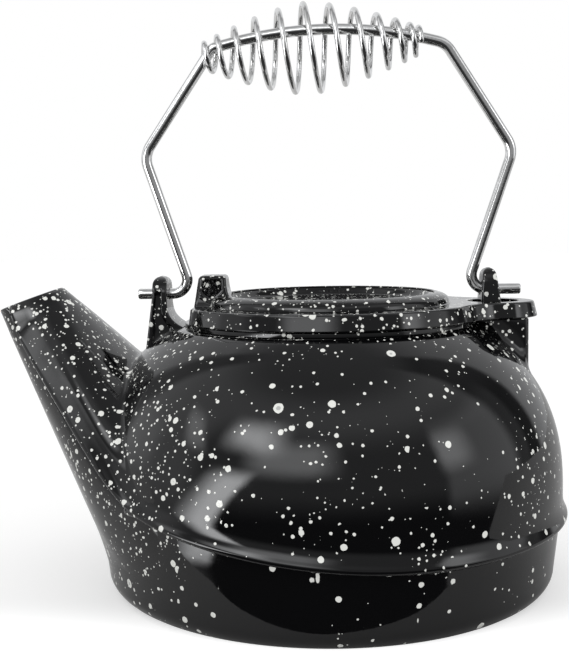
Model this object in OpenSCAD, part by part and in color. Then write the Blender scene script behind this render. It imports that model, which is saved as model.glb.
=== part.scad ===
// Stove-top kettle in enamelled cast iron: a pot with a flared spout, a lid that
// swivels on the rear ear, a wire bail that swings in both ears, and a coil grip.
// The origin is the middle of the foot, on the surface that the kettle stands on.
// +X points to the back, away from the spout, and +Z points up.

/* [Pot] */
// Radius of the flat foot
foot_r = 86; // [80:0.5:90]
// Radius of the rounding between foot and skirt
foot_round = 7.5; // [3:0.5:9]
// Distance of the body's axis, for belly, lid and ears, in front of the foot's centre
body_x = 1.2; // [0:0.1:2]
// Outer radius of the skirt just under the seam
skirt_r = 96; // [94:0.5:97]
// Outer radius of the belly
belly_r = 98.2; // [97:0.2:101]
// Height of the widest part of the belly
belly_z = 40; // [36:1:46]
// How much squarer than an ellipse the dome is
dome_power = 2.4; // [2.1:0.1:2.7]
// Outer radius of the shoulder, where the dome ends under the lid
shoulder_r = 62.9; // [60:0.1:66]
// Height of the shoulder
shoulder_z = 106.3; // [103:0.1:107]
// Height of the flat rim that the lid lies on
rim_z = 108.5; // [107.5:0.1:111]
// Outer radius of the rim
rim_r = 60.5; // [58:0.1:62]
// Radius of the filling opening
mouth_r = 50; // [46:0.5:52]
// Distance of the rim's and the lid's centre behind the body's axis
lid_x = 2.4; // [0:0.1:4]
// Thickness of the cast wall
wall = 4; // [3:0.1:5]

/* [Seam] */
// Height of the seam at the back
seam_z = 28.8; // [26:0.1:32]
// How fast the seam rises towards the spout, per millimetre squared
seam_rise = 0.00086; // [0.0006:0.00001:0.001]
// Where the seam starts to rise
seam_start_x = 53; // [30:1:60]
// How far the lip of the upper half stands out from the belly
lip_out = 1.9; // [1:0.1:2.5]
// Height over which the belly flares out into the lip
lip_flare = 8; // [5:0.5:12]

/* [Spout] */
// Height of the lower edge of the spout's mouth
tip_z = 111.9; // [108:0.1:116]
// Distance of that edge in front of the body's axis
tip_x = 136; // [130:0.5:142]
// Length of the mouth from its lower to its upper edge
spout_mouth_len = 27.8; // [24:0.2:30]
// Width of the mouth
spout_mouth_w = 26; // [22:0.2:28]
// Tilt of the mouth from level
spout_mouth_tilt = 24.5; // [15:0.5:35]
// Height at which the top of the spout meets the dome
spout_root_z = 94; // [88:0.5:98]
// Height of the straight part of the seam on the spout, at 100 mm in front
spout_seam_z = 76.6; // [70:0.2:82]
// Slope of that part, as rise per run
spout_seam_slope = 1.289; // [1.1:0.01:1.5]
// Thickness of the spout's wall at the mouth
spout_wall = 3.2; // [2.5:0.1:4]

/* [Ears and hinge] */
// Height of the bail's hinge
hinge_z = 120; // [118:0.5:124]
// Middle of the front ear
front_ear_x = -68; // [-70:0.1:-67]
// Thickness of the front ear at the hinge
front_ear_t = 6; // [5:0.1:7]
// Width of the front ear
front_ear_w = 20; // [16:0.5:24]
// Height of the ears above the hinge
ear_top = 7.5; // [6:0.1:9]
// Thickness of the rear ear at the hinge
rear_ear_t = 6.8; // [5:0.1:7.6]
// Width of the rear ear where it leaves the pivot
rear_ear_w = 15; // [13:0.5:16]
// Distance of the lid's pivot behind the body's axis
pivot_x = 71; // [69:0.5:73]
// Radius of the lid's pivot
pivot_r = 10.3; // [9.5:0.1:11]
// Half the width of the tower that carries the pivot
tower_w = 13; // [11:0.5:15]
// Distance of the tower's back behind the body's axis
tower_x = 83.8; // [82:0.1:86]

/* [Lid] */
// Outer radius of the lid at its underside
lid_r = 62.5; // [61:0.1:64]
// Thickness of the lid at its rim
lid_t = 6.4; // [5:0.1:8]
// Slant of the lid's edge
lid_draft = 1.2; // [0:0.1:2]
// Distance of the flat front of the lid in front of the body's axis
lid_front = 53.6; // [52:0.1:56]
// Radius of the raised ring's crest
crest_r = 44.5; // [42:0.1:46]
// Height of the crest above the lid's rim
crest_h = 4.4; // [3:0.1:6]
// Radius of the raised ring's outer foot
ring_foot_r = 50.5; // [49:0.1:53]
// Depth of the dish inside the crest
dish_d = 3.6; // [2:0.1:5]
// Radius of the tail round the pivot
tail_r = 18; // [16:0.5:20]
// Radius of the hollow curve between disc and tail
tail_fillet = 22; // [14:1:30]
// Length of the thumb lug along the lid
lug_len = 16; // [13:0.5:18]
// Width of the thumb lug
lug_w = 18; // [14:0.5:22]
// Height of the thumb lug above the lid's rim
lug_h = 12.4; // [9:0.1:14]

/* [Bail] */
// Thickness of the bail's rod
rod_d = 4.5; // [4:0.1:4.7]
// Distance of the front pin's end in front of the body's axis
pin_front = 78; // [76:0.5:82]
// Distance of the rear pin's end behind the body's axis
pin_rear = 82.2; // [78:0.2:86]
// Corner of the front leg at the hinge, in front of the body's axis
knee_front = 54.9; // [54:0.1:57]
// Corner of the rear leg at the hinge, behind the body's axis
knee_rear = 59.6; // [58:0.1:60]
// Corner of the front elbow, in front of the body's axis
elbow_front = 74; // [70:0.5:78]
// Corner of the rear elbow, behind the body's axis
elbow_rear = 79.2; // [75:0.2:84]
// Height of the elbows above the hinge
elbow_h = 57.8; // [52:0.2:64]
// Corner of the front shoulder, in front of the body's axis
shoulder_front = 44.6; // [43:0.1:48]
// Corner of the rear shoulder, behind the body's axis
shoulder_rear = 51.6; // [50:0.1:56]
// Height of the shoulders above the hinge
shoulder_h = 101.1; // [98:0.1:106]
// Height of the corner over the arch, above the shoulders
arch_h = 12.6; // [10:0.1:15]

/* [Coil grip] */
// Thickness of the coil's wire
wire_d = 2.3; // [2:0.1:2.5]
// Outer radius of the widest turn
coil_max_r = 19; // [16:0.1:20]
// Outer radius of the end turns
coil_end_r = 6.3; // [6.2:0.1:7]
// Number of turns
coil_turns = 11.6; // [9:0.1:11.8]
// Distance between turns in the middle
coil_pitch = 10.6; // [10:0.1:10.8]

/* [Hidden] */

enamel = [0.05, 0.05, 0.06];
steel = [0.78, 0.78, 0.78];
eps = 0.01;

// --- clearances between pieces that move on each other ---
seat_gap = 0.3;                    // lid over the rim
pivot_gap = 0.3;                   // lid round its pivot
pin_gap = 0.3;                     // pin in its ear

lid_z = rim_z + seat_gap;          // underside of the lid
rear_ear_x = pivot_x - 2.2;        // middle of the rear ear
pivot_arm = pivot_x - lid_x;       // from the lid's centre to its pivot

// --- helpers ---
function lerp(a, b, t) = a + (b - a) * t;
function unit(v) = v / norm(v);

// ---------------------------------------------------------------- seam ----
// The seam rises in a shallow parabola along the belly and in a straight line
// up the spout. A rounded maximum joins the two.
seam_soft = 4;
function seam_belly(x) = seam_z + seam_rise * pow(max(0, seam_start_x - x), 2);
function seam_spout(x) = spout_seam_z - spout_seam_slope * (x + 100);
function seam_height(x) = let (a = seam_belly(x), b = seam_spout(x), d = (a - b) / 2)
    (a + b) / 2 + sqrt(d * d + seam_soft * seam_soft);

// --------------------------------------------------------------- spout ----
// The spout is a loft of rings from the mouth to the belly. Each ring passes
// over the top line, through the seam on both flanks, and under the keel.
mouth_mid = [-tip_x + spout_mouth_len / 2 * cos(spout_mouth_tilt), 0,
             tip_z + spout_mouth_len / 2 * sin(spout_mouth_tilt)];
mouth_seam_turn = 118;             // where the seam meets the mouth's ring
root_power = 1.65;                 // squareness of the ring at the belly
flank_turn = acos((belly_r - spout_mouth_w / 2) / -mouth_mid[0]);
ring_n = 20;                       // steps in each half of a ring
loft_n = 8;                        // rings along the spout
root_top_x = -78.6;
buried = 0.35;                     // how far the root runs on inside the belly

// mouth point at an angle from the top, for an inset wall
function mouth_pt(turn, inset) =
    let (s = (spout_mouth_len / 2 - inset) * cos(turn),
         y = (spout_mouth_w / 2 - inset) * sin(turn))
    mouth_mid + [s * cos(spout_mouth_tilt), y, s * sin(spout_mouth_tilt)];
// seam point on the flank, u = 0 at the mouth and 1 at the belly
function flank_pt(u, inset) =
    let (a = mouth_pt(mouth_seam_turn, inset), r = belly_r - inset * 1.3,
         b = [-r * cos(flank_turn), r * sin(flank_turn)],
         x = lerp(a[0], b[0], u))
    [x, lerp(a[1], b[1], u), lerp(a[2], seam_height(x), min(1, u * 3))];
function top_pt(u, inset) = lerp(mouth_pt(0, inset),
    [root_top_x + inset * 0.6, 0, spout_root_z - inset], u);
function keel_pt(u, inset) = lerp(mouth_pt(180, inset), [-foot_r - 0.6 + inset * 1.2, 0, inset], u);

// One point of ring u at angle t: 0 on top, 90 on the near seam, 180 on the keel
function ring_pt(u, t, inset) =
    let (over = abs(t) <= 90, side = sign(t), ta = abs(t),
         s = flank_pt(u, inset), e = over ? top_pt(u, inset) : keel_pt(u, inset),
         turn = over ? ta * mouth_seam_turn / 90
                     : mouth_seam_turn + (ta - 90) * (180 - mouth_seam_turn) / 90,
         m = mouth_pt(turn, inset), m0 = mouth_pt(mouth_seam_turn, inset),
         m1 = mouth_pt(over ? 0 : 180, inset),
         h_mouth = (m[2] - m0[2]) / (m1[2] - m0[2]), w_mouth = m[1] / m0[1],
         h_root = pow(abs(cos(ta)), 2 / root_power), w_root = pow(sin(ta), 2 / root_power),
         v = pow(min(1, u), 0.8),
         h = lerp(h_mouth, h_root, v), w = lerp(w_mouth, w_root, v))
    [lerp(s[0], e[0], h), side * s[1] * w, lerp(s[2], e[2], h)];
function ring(u, inset) = [for (i = [0:2 * ring_n - 1]) ring_pt(u, 180 * i / ring_n - 180 + eps, inset)];

// the last ring lies inside the belly, so that the loft joins it
function sunk_ring(inset) = [for (p = ring(1, inset)) [p[0] + 30, p[1] * 0.72, lerp(p[2], 50, buried)]];
// the first ring of a hollow is pushed out of the mouth, so that it cuts clean
function pushed_ring(inset, by) = [for (p = ring(0, inset))
    p + by * [-sin(spout_mouth_tilt), 0, cos(spout_mouth_tilt)]];

// A closed tube from a list of rings with the same number of points
module skin(rings) {
    n = len(rings[0]);
    m = len(rings);
    pts = [for (r = rings) each r];
    sides = [for (j = [0:m - 2], i = [0:n - 1]) let (a = j * n + i, b = j * n + (i + 1) % n)
        each [[a, b, a + n], [b, b + n, a + n]]];
    polyhedron(pts, concat(sides, [[for (i = [n - 1:-1:0]) i]],
        [[for (i = [0:n - 1]) (m - 1) * n + i]]));
}
module spout_skin(inset, push) {
    skin(concat(push > 0 ? [pushed_ring(inset, push)] : [],
        [for (j = [0:loft_n]) ring(j / loft_n, inset)], [sunk_ring(inset)]));
}

// ----------------------------------------------------------------- lip ----
// The lip of the upper half is one profile carried along the seam, from the
// mouth along the flank, round the belly and back.
lip_n = 84;
flank_n = 10;
lip_under = 1.8;                   // height of the lip's underside
lip_edge = 1.6;                    // height of the lip's blunt edge
lip_depth = 5;                     // how far the profile reaches into the wall
lip_profile = [[-lip_depth, -lip_under], [skirt_r - belly_r, -lip_under], [0.8 * lip_out, 0],
               [lip_out, 0.4], [lip_out, lip_edge], [0.55 * lip_out, 0.4 * lip_flare],
               [0.2 * lip_out, 0.75 * lip_flare], [-0.2 * lip_out, lip_flare], [-lip_depth, lip_flare]];
function lip_place(p, nrm, f) = [for (q = lip_profile) let (out = q[0] > 0 ? q[0] * f : q[0])
    [p[0] + nrm[0] * out, p[1] + nrm[1] * out, seam_height(p[0]) + q[1] * f]];
function lip_flank(side, k) = let (u = lerp(lip_start, 1, k / flank_n), p = flank_pt(u, 0))
    lip_place([p[0], side * p[1]], [-cos(flank_turn), side * sin(flank_turn)],
        lerp(lip_thin, 1, pow(u, 0.7)));
function lip_round(k) = let (a = lerp(180 + flank_turn, 540 - flank_turn, k / lip_n))
    lip_place([belly_r * cos(a), belly_r * sin(a)], [cos(a), sin(a)], 1);
lip_start = 0.06;                  // where the lip starts along the flank
lip_thin = 0.35;                   // its size there
module lip() {
    skin(concat([for (k = [0:flank_n - 1]) lip_flank(-1, k)], [for (k = [0:lip_n]) lip_round(k)],
        [for (k = [flank_n - 1:-1:0]) lip_flank(1, k)]));
}

// ----------------------------------------------------------------- pot ----
// The dome is a superellipse that ends at the shoulder
dome_h = (shoulder_z - belly_z) / pow(1 - pow(shoulder_r / belly_r, 2), 1 / dome_power);
function dome_r(z) = belly_r * sqrt(1 - pow(max(0, z - belly_z) / dome_h, dome_power));
// height at which the dome's radius is r
function dome_z(r) = belly_z + dome_h * pow(1 - pow(r / belly_r, 2), 1 / dome_power);
dome_n = 22;
function dome_arc(r_end, inset) = [for (k = [0:dome_n])
    let (a = k / dome_n, r = lerp(belly_r, r_end, pow(a, 1.8)), z = dome_z(r),
         d = unit([-(dome_r(z + 0.1) - dome_r(z - 0.1)) / 0.2, 1]))
    [r - inset * d[1], z - inset * d[0]]];

module dome() {
    // the dome above the seam; its part below the lowest seam is the skirt's
    intersection() {
        rotate_extrude($fn = 120)
            polygon(concat([[0, seam_z - 4], [belly_r, seam_z - 4]], dome_arc(shoulder_r, 0),
                [[0, shoulder_z]]));
        translate([0, belly_r + 5, 0]) rotate([90, 0, 0]) linear_extrude(2 * belly_r + 10)
            polygon(concat([for (k = [0:24]) let (x = lerp(-belly_r - 2, belly_r + 2, k / 24))
                [x, seam_height(x) - 1]], [[belly_r + 2, rim_z + 9], [-belly_r - 2, rim_z + 9]]));
    }
}
module skirt() {
    translate([body_x, 0, 0]) rotate_extrude($fn = 120)
        polygon(concat([[0, 0]],
            [for (k = [0:8]) let (a = -90 + 90 * k / 8)
                [foot_r + foot_round * cos(a), foot_round * (1 + sin(a))]],
            [[skirt_r, seam_z], [skirt_r, belly_z + 10], [0, belly_z + 10]]));
}
module rim() {
    // the rim stands on the shoulder, centred under the lid
    translate([lid_x, 0, shoulder_z - wall]) cylinder(r = rim_r, h = rim_z - shoulder_z + wall, $fn = 120);
}
module pot_hollow() {
    inner_foot = foot_r + foot_round - wall - 1;
    rotate_extrude($fn = 120)
        polygon(concat([[0, wall], [inner_foot - 8, wall], [inner_foot - 2, wall + 3], [skirt_r - wall, seam_z]],
            [for (p = dome_arc(shoulder_r, wall)) if (p[0] > mouth_r + 4 && p[1] > seam_z + 2) p],
            [[0, shoulder_z - wall]]));
    translate([lid_x, 0, shoulder_z - 2 * wall]) cylinder(r = mouth_r, h = rim_z + 2 * wall, $fn = 120);
}

// An ear is the overlap of its side view and its front view
module ear(side, front, x_mid) {
    intersection() {
        translate([0, 30, 0]) rotate([90, 0, 0]) linear_extrude(60) polygon(side);
        translate([x_mid - 20, 0, 0]) rotate([90, 0, 90]) linear_extrude(40) polygon(front);
    }
}
// side view: slanted faces and a round top
function ear_side(x, t, flare_out, flare_in, z0) = concat(
    [[x - t / 2 - flare_out, z0], [x - t / 2, hinge_z]],
    [for (k = [0:6]) let (a = 180 - 180 * k / 6)
        [x + t / 2 * 0.92 * cos(a), hinge_z + ear_top - t / 2 * 0.92 + t / 2 * 0.92 * sin(a)]],
    [[x + t / 2, hinge_z], [x + t / 2 + flare_in, z0]]);
// front view: tapered sides and a round top
function ear_front(w0, w1, z0, r) = concat([[-w0 / 2, z0]],
    [for (k = [0:10]) let (a = 180 - 180 * k / 10)
        [w1 / 2 * cos(a), hinge_z + ear_top - r + r * sin(a)]],
    [[w0 / 2, z0]]);

module front_ear() {
    foot_z = 90;
    ear(ear_side(front_ear_x, front_ear_t, 4.6, 2.2, foot_z),
        ear_front(front_ear_w + 3, front_ear_w - 3, foot_z, 7), front_ear_x);
    // hollow curve from the ear down to the rim
    foot_r1 = 5;
    inner = front_ear_x + front_ear_t / 2;
    intersection() {
        translate([0, front_ear_w / 2, 0]) rotate([90, 0, 0]) linear_extrude(front_ear_w)
            polygon(concat([[inner - 2, foot_z], [inner - 2, rim_z - 1 + foot_r1]],
                [for (k = [0:6]) let (a = 180 + 90 * k / 6)
                    [inner + 0.6 + foot_r1 + foot_r1 * cos(a), rim_z - 1.2 + foot_r1 + foot_r1 * sin(a)]],
                [[lid_x - mouth_r - 3, rim_z - 1.2], [lid_x - mouth_r - 3, foot_z]]));
        translate([lid_x, 0, foot_z]) cylinder(r = rim_r + 14, h = 40, $fn = 96);
    }
}
// The tower's sides run out on the dome in a hollow curve, as one loft of sections
// across the pot; the curve narrows towards the back
tower_foot_r = 9;
tower_foot_n = 7;
function foot_reach(x) = tower_foot_r * (1 - 0.8 * pow(max(0, (x - pivot_x) / (tower_x - pivot_x)), 1.5));
function foot_curve(x) = let (r = foot_reach(x),
        low = min(shoulder_z, dome_z(norm([x, tower_w + r]))) - 0.3,
        high = min(rim_z - 0.7, dome_z(norm([x, tower_w])) + r))
    [for (k = [0:6]) let (a = 90 * k / 6) [tower_w - 0.2 + r * (1 - sin(a)), lerp(low, high, 1 - cos(a))]];
function foot_section(x) = let (c = foot_curve(x), n = len(c) - 1, low = c[0][1] - wall)
    concat([[x, c[0][0], low]], [for (q = c) [x, q[0], q[1]]],
        [for (k = [n:-1:0]) [x, -c[k][0], c[k][1]]], [[x, -c[0][0], low]]);
module tower_foot() {
    from = mouth_r + 8.3;
    to = tower_x - 4.2;
    // the last section turns in and ends inside the tower
    ending = [for (q = foot_section(to)) [to + 2.3, sign(q[1]) * (tower_w - 2), q[2] - 2]];
    skin(concat([for (k = [0:tower_foot_n]) foot_section(lerp(from, to, k / tower_foot_n))], [ending]));
}
module tower() {
    round_r = 3;
    top = rim_z;
    tower_foot();
    translate([0, 0, dome_z(tower_x) - 12]) linear_extrude(top - dome_z(tower_x) + 12)
        union() {
            translate([mouth_r + 4, -tower_w]) square([tower_x - mouth_r - 4 - round_r, 2 * tower_w]);
            translate([mouth_r + 4, round_r - tower_w]) square([tower_x - mouth_r - 4, 2 * (tower_w - round_r)]);
            for (s = [-1, 1]) translate([tower_x - round_r, s * (tower_w - round_r)]) circle(r = round_r, $fn = 32);
        }
    translate([pivot_x, 0, top - 1]) cylinder(r = pivot_r, h = lid_t * 0.6 + 1, $fn = 96);
    ear(ear_side(rear_ear_x, rear_ear_t, 0.5, 0.9, top),
        ear_front(rear_ear_w, rear_ear_w - 4, top, 5.5), rear_ear_x);
}
module pin_hole(x) {
    translate([x - 20, 0, hinge_z]) rotate([0, 90, 0]) cylinder(d = rod_d + 2 * pin_gap, h = 40, $fn = 48);
}
module casting() {
    difference() {
        union() {
            skirt();
            dome();
            rim();
            spout_skin(0, 0);
            lip();
            front_ear();
            tower();
        }
        pot_hollow();
        spout_skin(spout_wall, 3);
        pin_hole(front_ear_x);
        pin_hole(rear_ear_x);
    }
}
// The casting is one piece. It is stated as two solids that meet on a flat plane, so
// that the channel in the spout stays open in a coarse collision shape.
spout_plane_x = 82;
module before_plane() {
    reach = 2 * tip_x;
    translate([-spout_plane_x - reach, -reach / 2, -reach / 2]) cube([reach, reach, 2 * reach]);
}
module pot() {
    color(enamel) difference() {
        casting();
        before_plane();
    }
}
module spout() {
    color(enamel) intersection() {
        casting();
        before_plane();
    }
}

// ----------------------------------------------------------------- lid ----
// The plate's outline runs round the disc, in along a hollow curve that touches
// disc and tail, round the tail, and back out. The plate is a loft of outlines
// that shrink towards the top.
web_r1 = lid_r + tail_fillet;
web_r2 = tail_r + tail_fillet;
web_x = (web_r1 * web_r1 - web_r2 * web_r2 + pivot_arm * pivot_arm) / (2 * pivot_arm);
web_y = sqrt(web_r1 * web_r1 - web_x * web_x);
disc_turn = atan2(web_y, web_x);               // where the hollow curve touches the disc
tail_turn = atan2(web_y, web_x - pivot_arm);   // and the tail
disc_n = 110;
tail_n = 30;
web_n = 8;
lid_edge_round = 0.7;
function arc(x, y, r, from, to, n) = [for (k = [0:n]) let (a = lerp(from, to, k / n))
    [x + r * cos(a), y + r * sin(a)]];
function inner_part(pts) = [for (k = [1:len(pts) - 2]) pts[k]];
function plate_outline(inset) = concat(
    arc(0, 0, lid_r - inset, disc_turn, 360 - disc_turn, disc_n),
    inner_part(arc(web_x, -web_y, tail_fillet + inset, 180 - disc_turn, 180 - tail_turn, web_n)),
    arc(pivot_arm, 0, tail_r - inset, -tail_turn, tail_turn, tail_n),
    inner_part(arc(web_x, web_y, tail_fillet + inset, 180 + tail_turn, 180 + disc_turn, web_n)));
function plate_ring(inset, z) = [for (p = plate_outline(inset)) [p[0], p[1], z]];
module lid_plate() {
    difference() {
        skin([plate_ring(lid_draft + lid_edge_round, lid_t), plate_ring(lid_draft, lid_t - lid_edge_round),
              plate_ring(0, 0)]);
        translate([-2 * lid_r - lid_front - lid_x, -lid_r - 1, -1]) cube([2 * lid_r, 2 * lid_r + 2, lid_t + 2]);
    }
}
module lid_ring() {
    // steep outer wall, rounded crest, recessed dish
    crest_round = 2.4;
    rotate_extrude($fn = 144)
        polygon(concat([[0, lid_t - 2], [ring_foot_r, lid_t - 2], [ring_foot_r, lid_t]],
            [for (k = [0:6]) let (a = 20 + 70 * k / 6)
                [crest_r + (ring_foot_r - crest_r) * pow(cos(a), 1.2), lid_t + crest_h * pow(sin(a), 0.8)]],
            [for (k = [1:6]) let (a = 90 + 80 * k / 6)
                [crest_r - crest_round + crest_round * (1 + cos(a) * 1.6), lid_t + crest_h - dish_d * (1 - sin(a))]],
            [[0, lid_t + crest_h - dish_d]]));
}
module lug() {
    slant = 1.8;
    intersection() {
        translate([0, lug_w / 2, 0]) rotate([90, 0, 0]) linear_extrude(lug_w)
            polygon([[-lid_front, 1], [-lid_front + slant, lid_t + lug_h - 1.5],
                     [-lid_front + slant + 1.2, lid_t + lug_h - 0.6], [-lid_front + lug_len - slant - 2, lid_t + lug_h],
                     [-lid_front + lug_len - slant - 0.4, lid_t + lug_h - 1.4],
                     [-lid_front + lug_len, lid_t + crest_h], [-lid_front + lug_len + 2, 1]]);
        translate([-lid_front - 2, 0, 0]) rotate([90, 0, 90]) linear_extrude(lug_len + 6)
            polygon([[-lug_w / 2, 0], [-lug_w / 2, lid_t + 2], [-lug_w / 2 + 2.4, lid_t + lug_h - 1.5],
                     [-lug_w / 2 + 3.6, lid_t + lug_h + 1], [lug_w / 2 - 3.6, lid_t + lug_h + 1],
                     [lug_w / 2 - 2.4, lid_t + lug_h - 1.5], [lug_w / 2, lid_t + 2], [lug_w / 2, 0]]);
    }
}
module lid() {
    color(enamel) difference() {
        union() {
            translate([lid_x, 0, lid_z]) {
                lid_plate();
                lid_ring();
            }
            translate([0, 0, lid_z]) lug();
        }
        translate([pivot_x, 0, lid_z - 1]) cylinder(r = pivot_r + pivot_gap, h = lid_t + crest_h, $fn = 96);
        // shallow hollow under the disc
        translate([lid_x, 0, lid_z - 1]) cylinder(r = mouth_r - 6, h = 1 + lid_t + crest_h - dish_d - wall, $fn = 96);
    }
}

// ---------------------------------------------------------------- bail ----
// The rod is straight between its corners and bends round each one
arch_x = (shoulder_rear - shoulder_front) / 2;
bail_corners = [
    [-pin_front, hinge_z],
    [-knee_front, hinge_z],
    [-elbow_front, hinge_z + elbow_h],
    [-shoulder_front, hinge_z + shoulder_h],
    [arch_x, hinge_z + shoulder_h + arch_h],
    [shoulder_rear, hinge_z + shoulder_h],
    [elbow_rear, hinge_z + elbow_h],
    [knee_rear, hinge_z],
    [pin_rear, hinge_z]];
front_knee_bend = 6;
rear_knee_bend = 4.4;              // tight, so that it ends clear of the rear ear
elbow_bend = 10;
front_shoulder_bend = 5;
rear_shoulder_bend = 9;

function turn_at(k) = let (a = unit(bail_corners[k] - bail_corners[k - 1]),
        b = unit(bail_corners[k + 1] - bail_corners[k])) acos(a * b);
function cut_back(k, r) = r * tan(turn_at(k) / 2);
// the arch bends as widely as the room between the shoulders allows
arch_room = min(norm(bail_corners[4] - bail_corners[3]) - cut_back(3, front_shoulder_bend),
                norm(bail_corners[5] - bail_corners[4]) - cut_back(5, rear_shoulder_bend)) - 0.5;
arch_bend = arch_room / tan(turn_at(4) / 2);
bend_r = [0, front_knee_bend, elbow_bend, front_shoulder_bend, arch_bend, rear_shoulder_bend,
          elbow_bend, rear_knee_bend, 0];
function cut_len(k) = bend_r[k] == 0 ? 0 : cut_back(k, bend_r[k]);

// one point of the rod's middle line at distance d past bend k's start
rod_sides = 16;
rod_ring_r = rod_d / 2 * sqrt(PI / (rod_sides / 2 * sin(360 / rod_sides)));   // same section as the pins
bend_steps = [0, 7, 6, 5, 12, 5, 6, 7, 0];
function bend_pts(k) = let (p = bail_corners[k], a = unit(p - bail_corners[k - 1]),
        b = unit(bail_corners[k + 1] - p), side = sign(a[0] * b[1] - a[1] * b[0]),
        from = atan2(a[1], a[0]), start = p - a * cut_len(k),
        mid = start + side * bend_r[k] * [-a[1], a[0]])
    [for (i = [0:bend_steps[k]]) let (d = from + side * turn_at(k) * i / bend_steps[k])
        [mid + side * bend_r[k] * [sin(d), -cos(d)], d]];
// the rod's middle line between the pins: each point with its direction
bail_path = [for (k = [1:len(bail_corners) - 2]) each bend_pts(k)];
function rod_ring(place) = let (p = place[0], d = place[1])
    [for (i = [0:rod_sides - 1]) let (q = 360 * (i + 0.5) / rod_sides, c = rod_ring_r * cos(q))
        [p[0] - sin(d) * c, rod_ring_r * sin(q), p[1] + cos(d) * c]];
module pin(from, to) {
    translate([from, 0, hinge_z]) rotate([0, 90, 0]) cylinder(d = rod_d, h = to - from, $fn = 48);
}
module bail() {
    color(steel) union() {
        pin(-pin_front, bail_path[0][0][0]);
        skin([for (place = bail_path) rod_ring(place)]);
        pin(bail_path[len(bail_path) - 1][0][0], pin_rear);
    }
}

// ----------------------------------------------------------- coil grip ----
// A barrel-shaped helix of round wire. Its pitch closes up towards the ends, more
// at the rear than at the front, and its widest turn lies a little to the front.
coil_a = [-46, 218.1];             // where the axis passes the front end turn
coil_b = [40, 222.4];              // and the rear one
coil_dir = unit(coil_b - coil_a);
coil_up = [-coil_dir[1], coil_dir[0]];
coil_mid = lerp(coil_a, coil_b, 0.526);
coil_steps = 18;                   // steps per turn
coil_sides = 8;
half_turns = coil_turns / 2;
last_top = floor(half_turns) + 0.5 - (half_turns < floor(half_turns) + 0.5 ? 1 : 0);
pitch_fall = 0.243;                // part of the length lost to the closing pitch
pitch_power = 1.8;
pitch_shift = 0.089;               // how much tighter the rear is
barrel_power = 1.45;
barrel_x = -4.2;                   // place of the widest turn along the axis
function coil_along(s) = coil_pitch * s * (1 - pitch_fall * pow(abs(s) / last_top, pitch_power))
    - pitch_shift * s * s;
function coil_r(s) = let (x = coil_along(s), end = coil_along(x < barrel_x ? -last_top : last_top),
        u = min(1, (x - barrel_x) / (end - barrel_x)))
    coil_end_r - wire_d / 2 + (coil_max_r - coil_end_r) * (1 - pow(u, barrel_power));
// the near strand runs down from front to back, as on a right-hand screw
function coil_pt(s) = let (r = coil_r(s), a = 360 * s + 180,
        p = coil_mid + coil_dir * coil_along(s) + coil_up * r * cos(a)) [p[0], -r * sin(a), p[1]];
function coil_ring(s) = let (t = unit(coil_pt(s + 0.002) - coil_pt(s - 0.002)),
        a = unit(cross(t, [coil_dir[0], 0, coil_dir[1]])), b = cross(t, a), p = coil_pt(s))
    [for (i = [0:coil_sides - 1]) let (q = 360 * i / coil_sides)
        p + wire_d / 2 * (a * cos(q) + b * sin(q))];
module coil_grip() {
    n = round(coil_turns * coil_steps);
    color(steel) skin([for (k = [0:n]) coil_ring(lerp(-half_turns, half_turns, k / n))]);
}

module on_body() {
    translate([-body_x, 0, 0]) children();
}

on_body() pot();
on_body() spout();
on_body() lid();
on_body() bail();
on_body() coil_grip();
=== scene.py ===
"""Looks of an enamelled iron stove pot, built round the frame of its CAD model.

All sizes are in millimetres and become metres when a mesh is made. Shapes are worked out
about the body's axis, and then moved to the frame, whose origin is the foot's centre. X runs
from the spout to the lid's pivot, and Z is up. A height called q is counted from the seam.
"""

import logging
import math
from dataclasses import dataclass
from enum import Enum
from typing import Any, Callable, ClassVar, Sequence

import bmesh
import bpy
import numpy as np
from mathutils import Matrix


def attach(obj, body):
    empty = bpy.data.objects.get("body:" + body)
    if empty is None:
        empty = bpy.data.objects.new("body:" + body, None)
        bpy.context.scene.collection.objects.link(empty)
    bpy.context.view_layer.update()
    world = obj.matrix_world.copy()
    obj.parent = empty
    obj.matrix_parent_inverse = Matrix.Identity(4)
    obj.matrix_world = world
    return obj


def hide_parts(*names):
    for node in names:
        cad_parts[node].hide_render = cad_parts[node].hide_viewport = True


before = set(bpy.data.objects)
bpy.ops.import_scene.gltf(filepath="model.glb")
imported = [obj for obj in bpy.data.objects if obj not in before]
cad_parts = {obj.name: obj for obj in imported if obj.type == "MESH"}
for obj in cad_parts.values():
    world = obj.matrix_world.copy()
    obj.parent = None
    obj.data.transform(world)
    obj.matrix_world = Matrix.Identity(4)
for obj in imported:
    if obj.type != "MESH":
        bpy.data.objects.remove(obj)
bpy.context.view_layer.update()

Arr = np.ndarray
MM = 0.001
BODY_X = -1.2                # the body's axis in the frame
PIN_Z = 120.0                # height of the bail's pins
PIN_BORE = 2.55              # radius of their bores
PIN_REACH = 86.0             # how far the bores' cutter reaches to both sides
SHARP = 32.0                 # an edge with a larger angle in degrees stays sharp
LOG = logging.getLogger("stove_pot")


class Slot(Enum):
    """Material slots of the record."""

    ENAMEL = "enamelled_iron"
    STEEL = "bright_steel"


# ------------------------------------------------------------------ numbers ----
def smooth(low: float, high: float, x: Arr | float) -> Arr:
    """Returns 0 below low, 1 above high and a smooth S-curve between."""
    t = np.clip((np.asarray(x, float) - low) / (high - low), 0, 1)
    return t * t * (3 - 2 * t)


def unit(v: Arr) -> Arr:
    """Returns vectors scaled to length 1 along the last axis."""
    return v / np.maximum(np.linalg.norm(v, axis=-1, keepdims=True), 1e-9)


def lerp(a: Any, b: Any, t: Any) -> Any:
    """Returns the point at share t of the way from a to b."""
    return a + (b - a) * t


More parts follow.
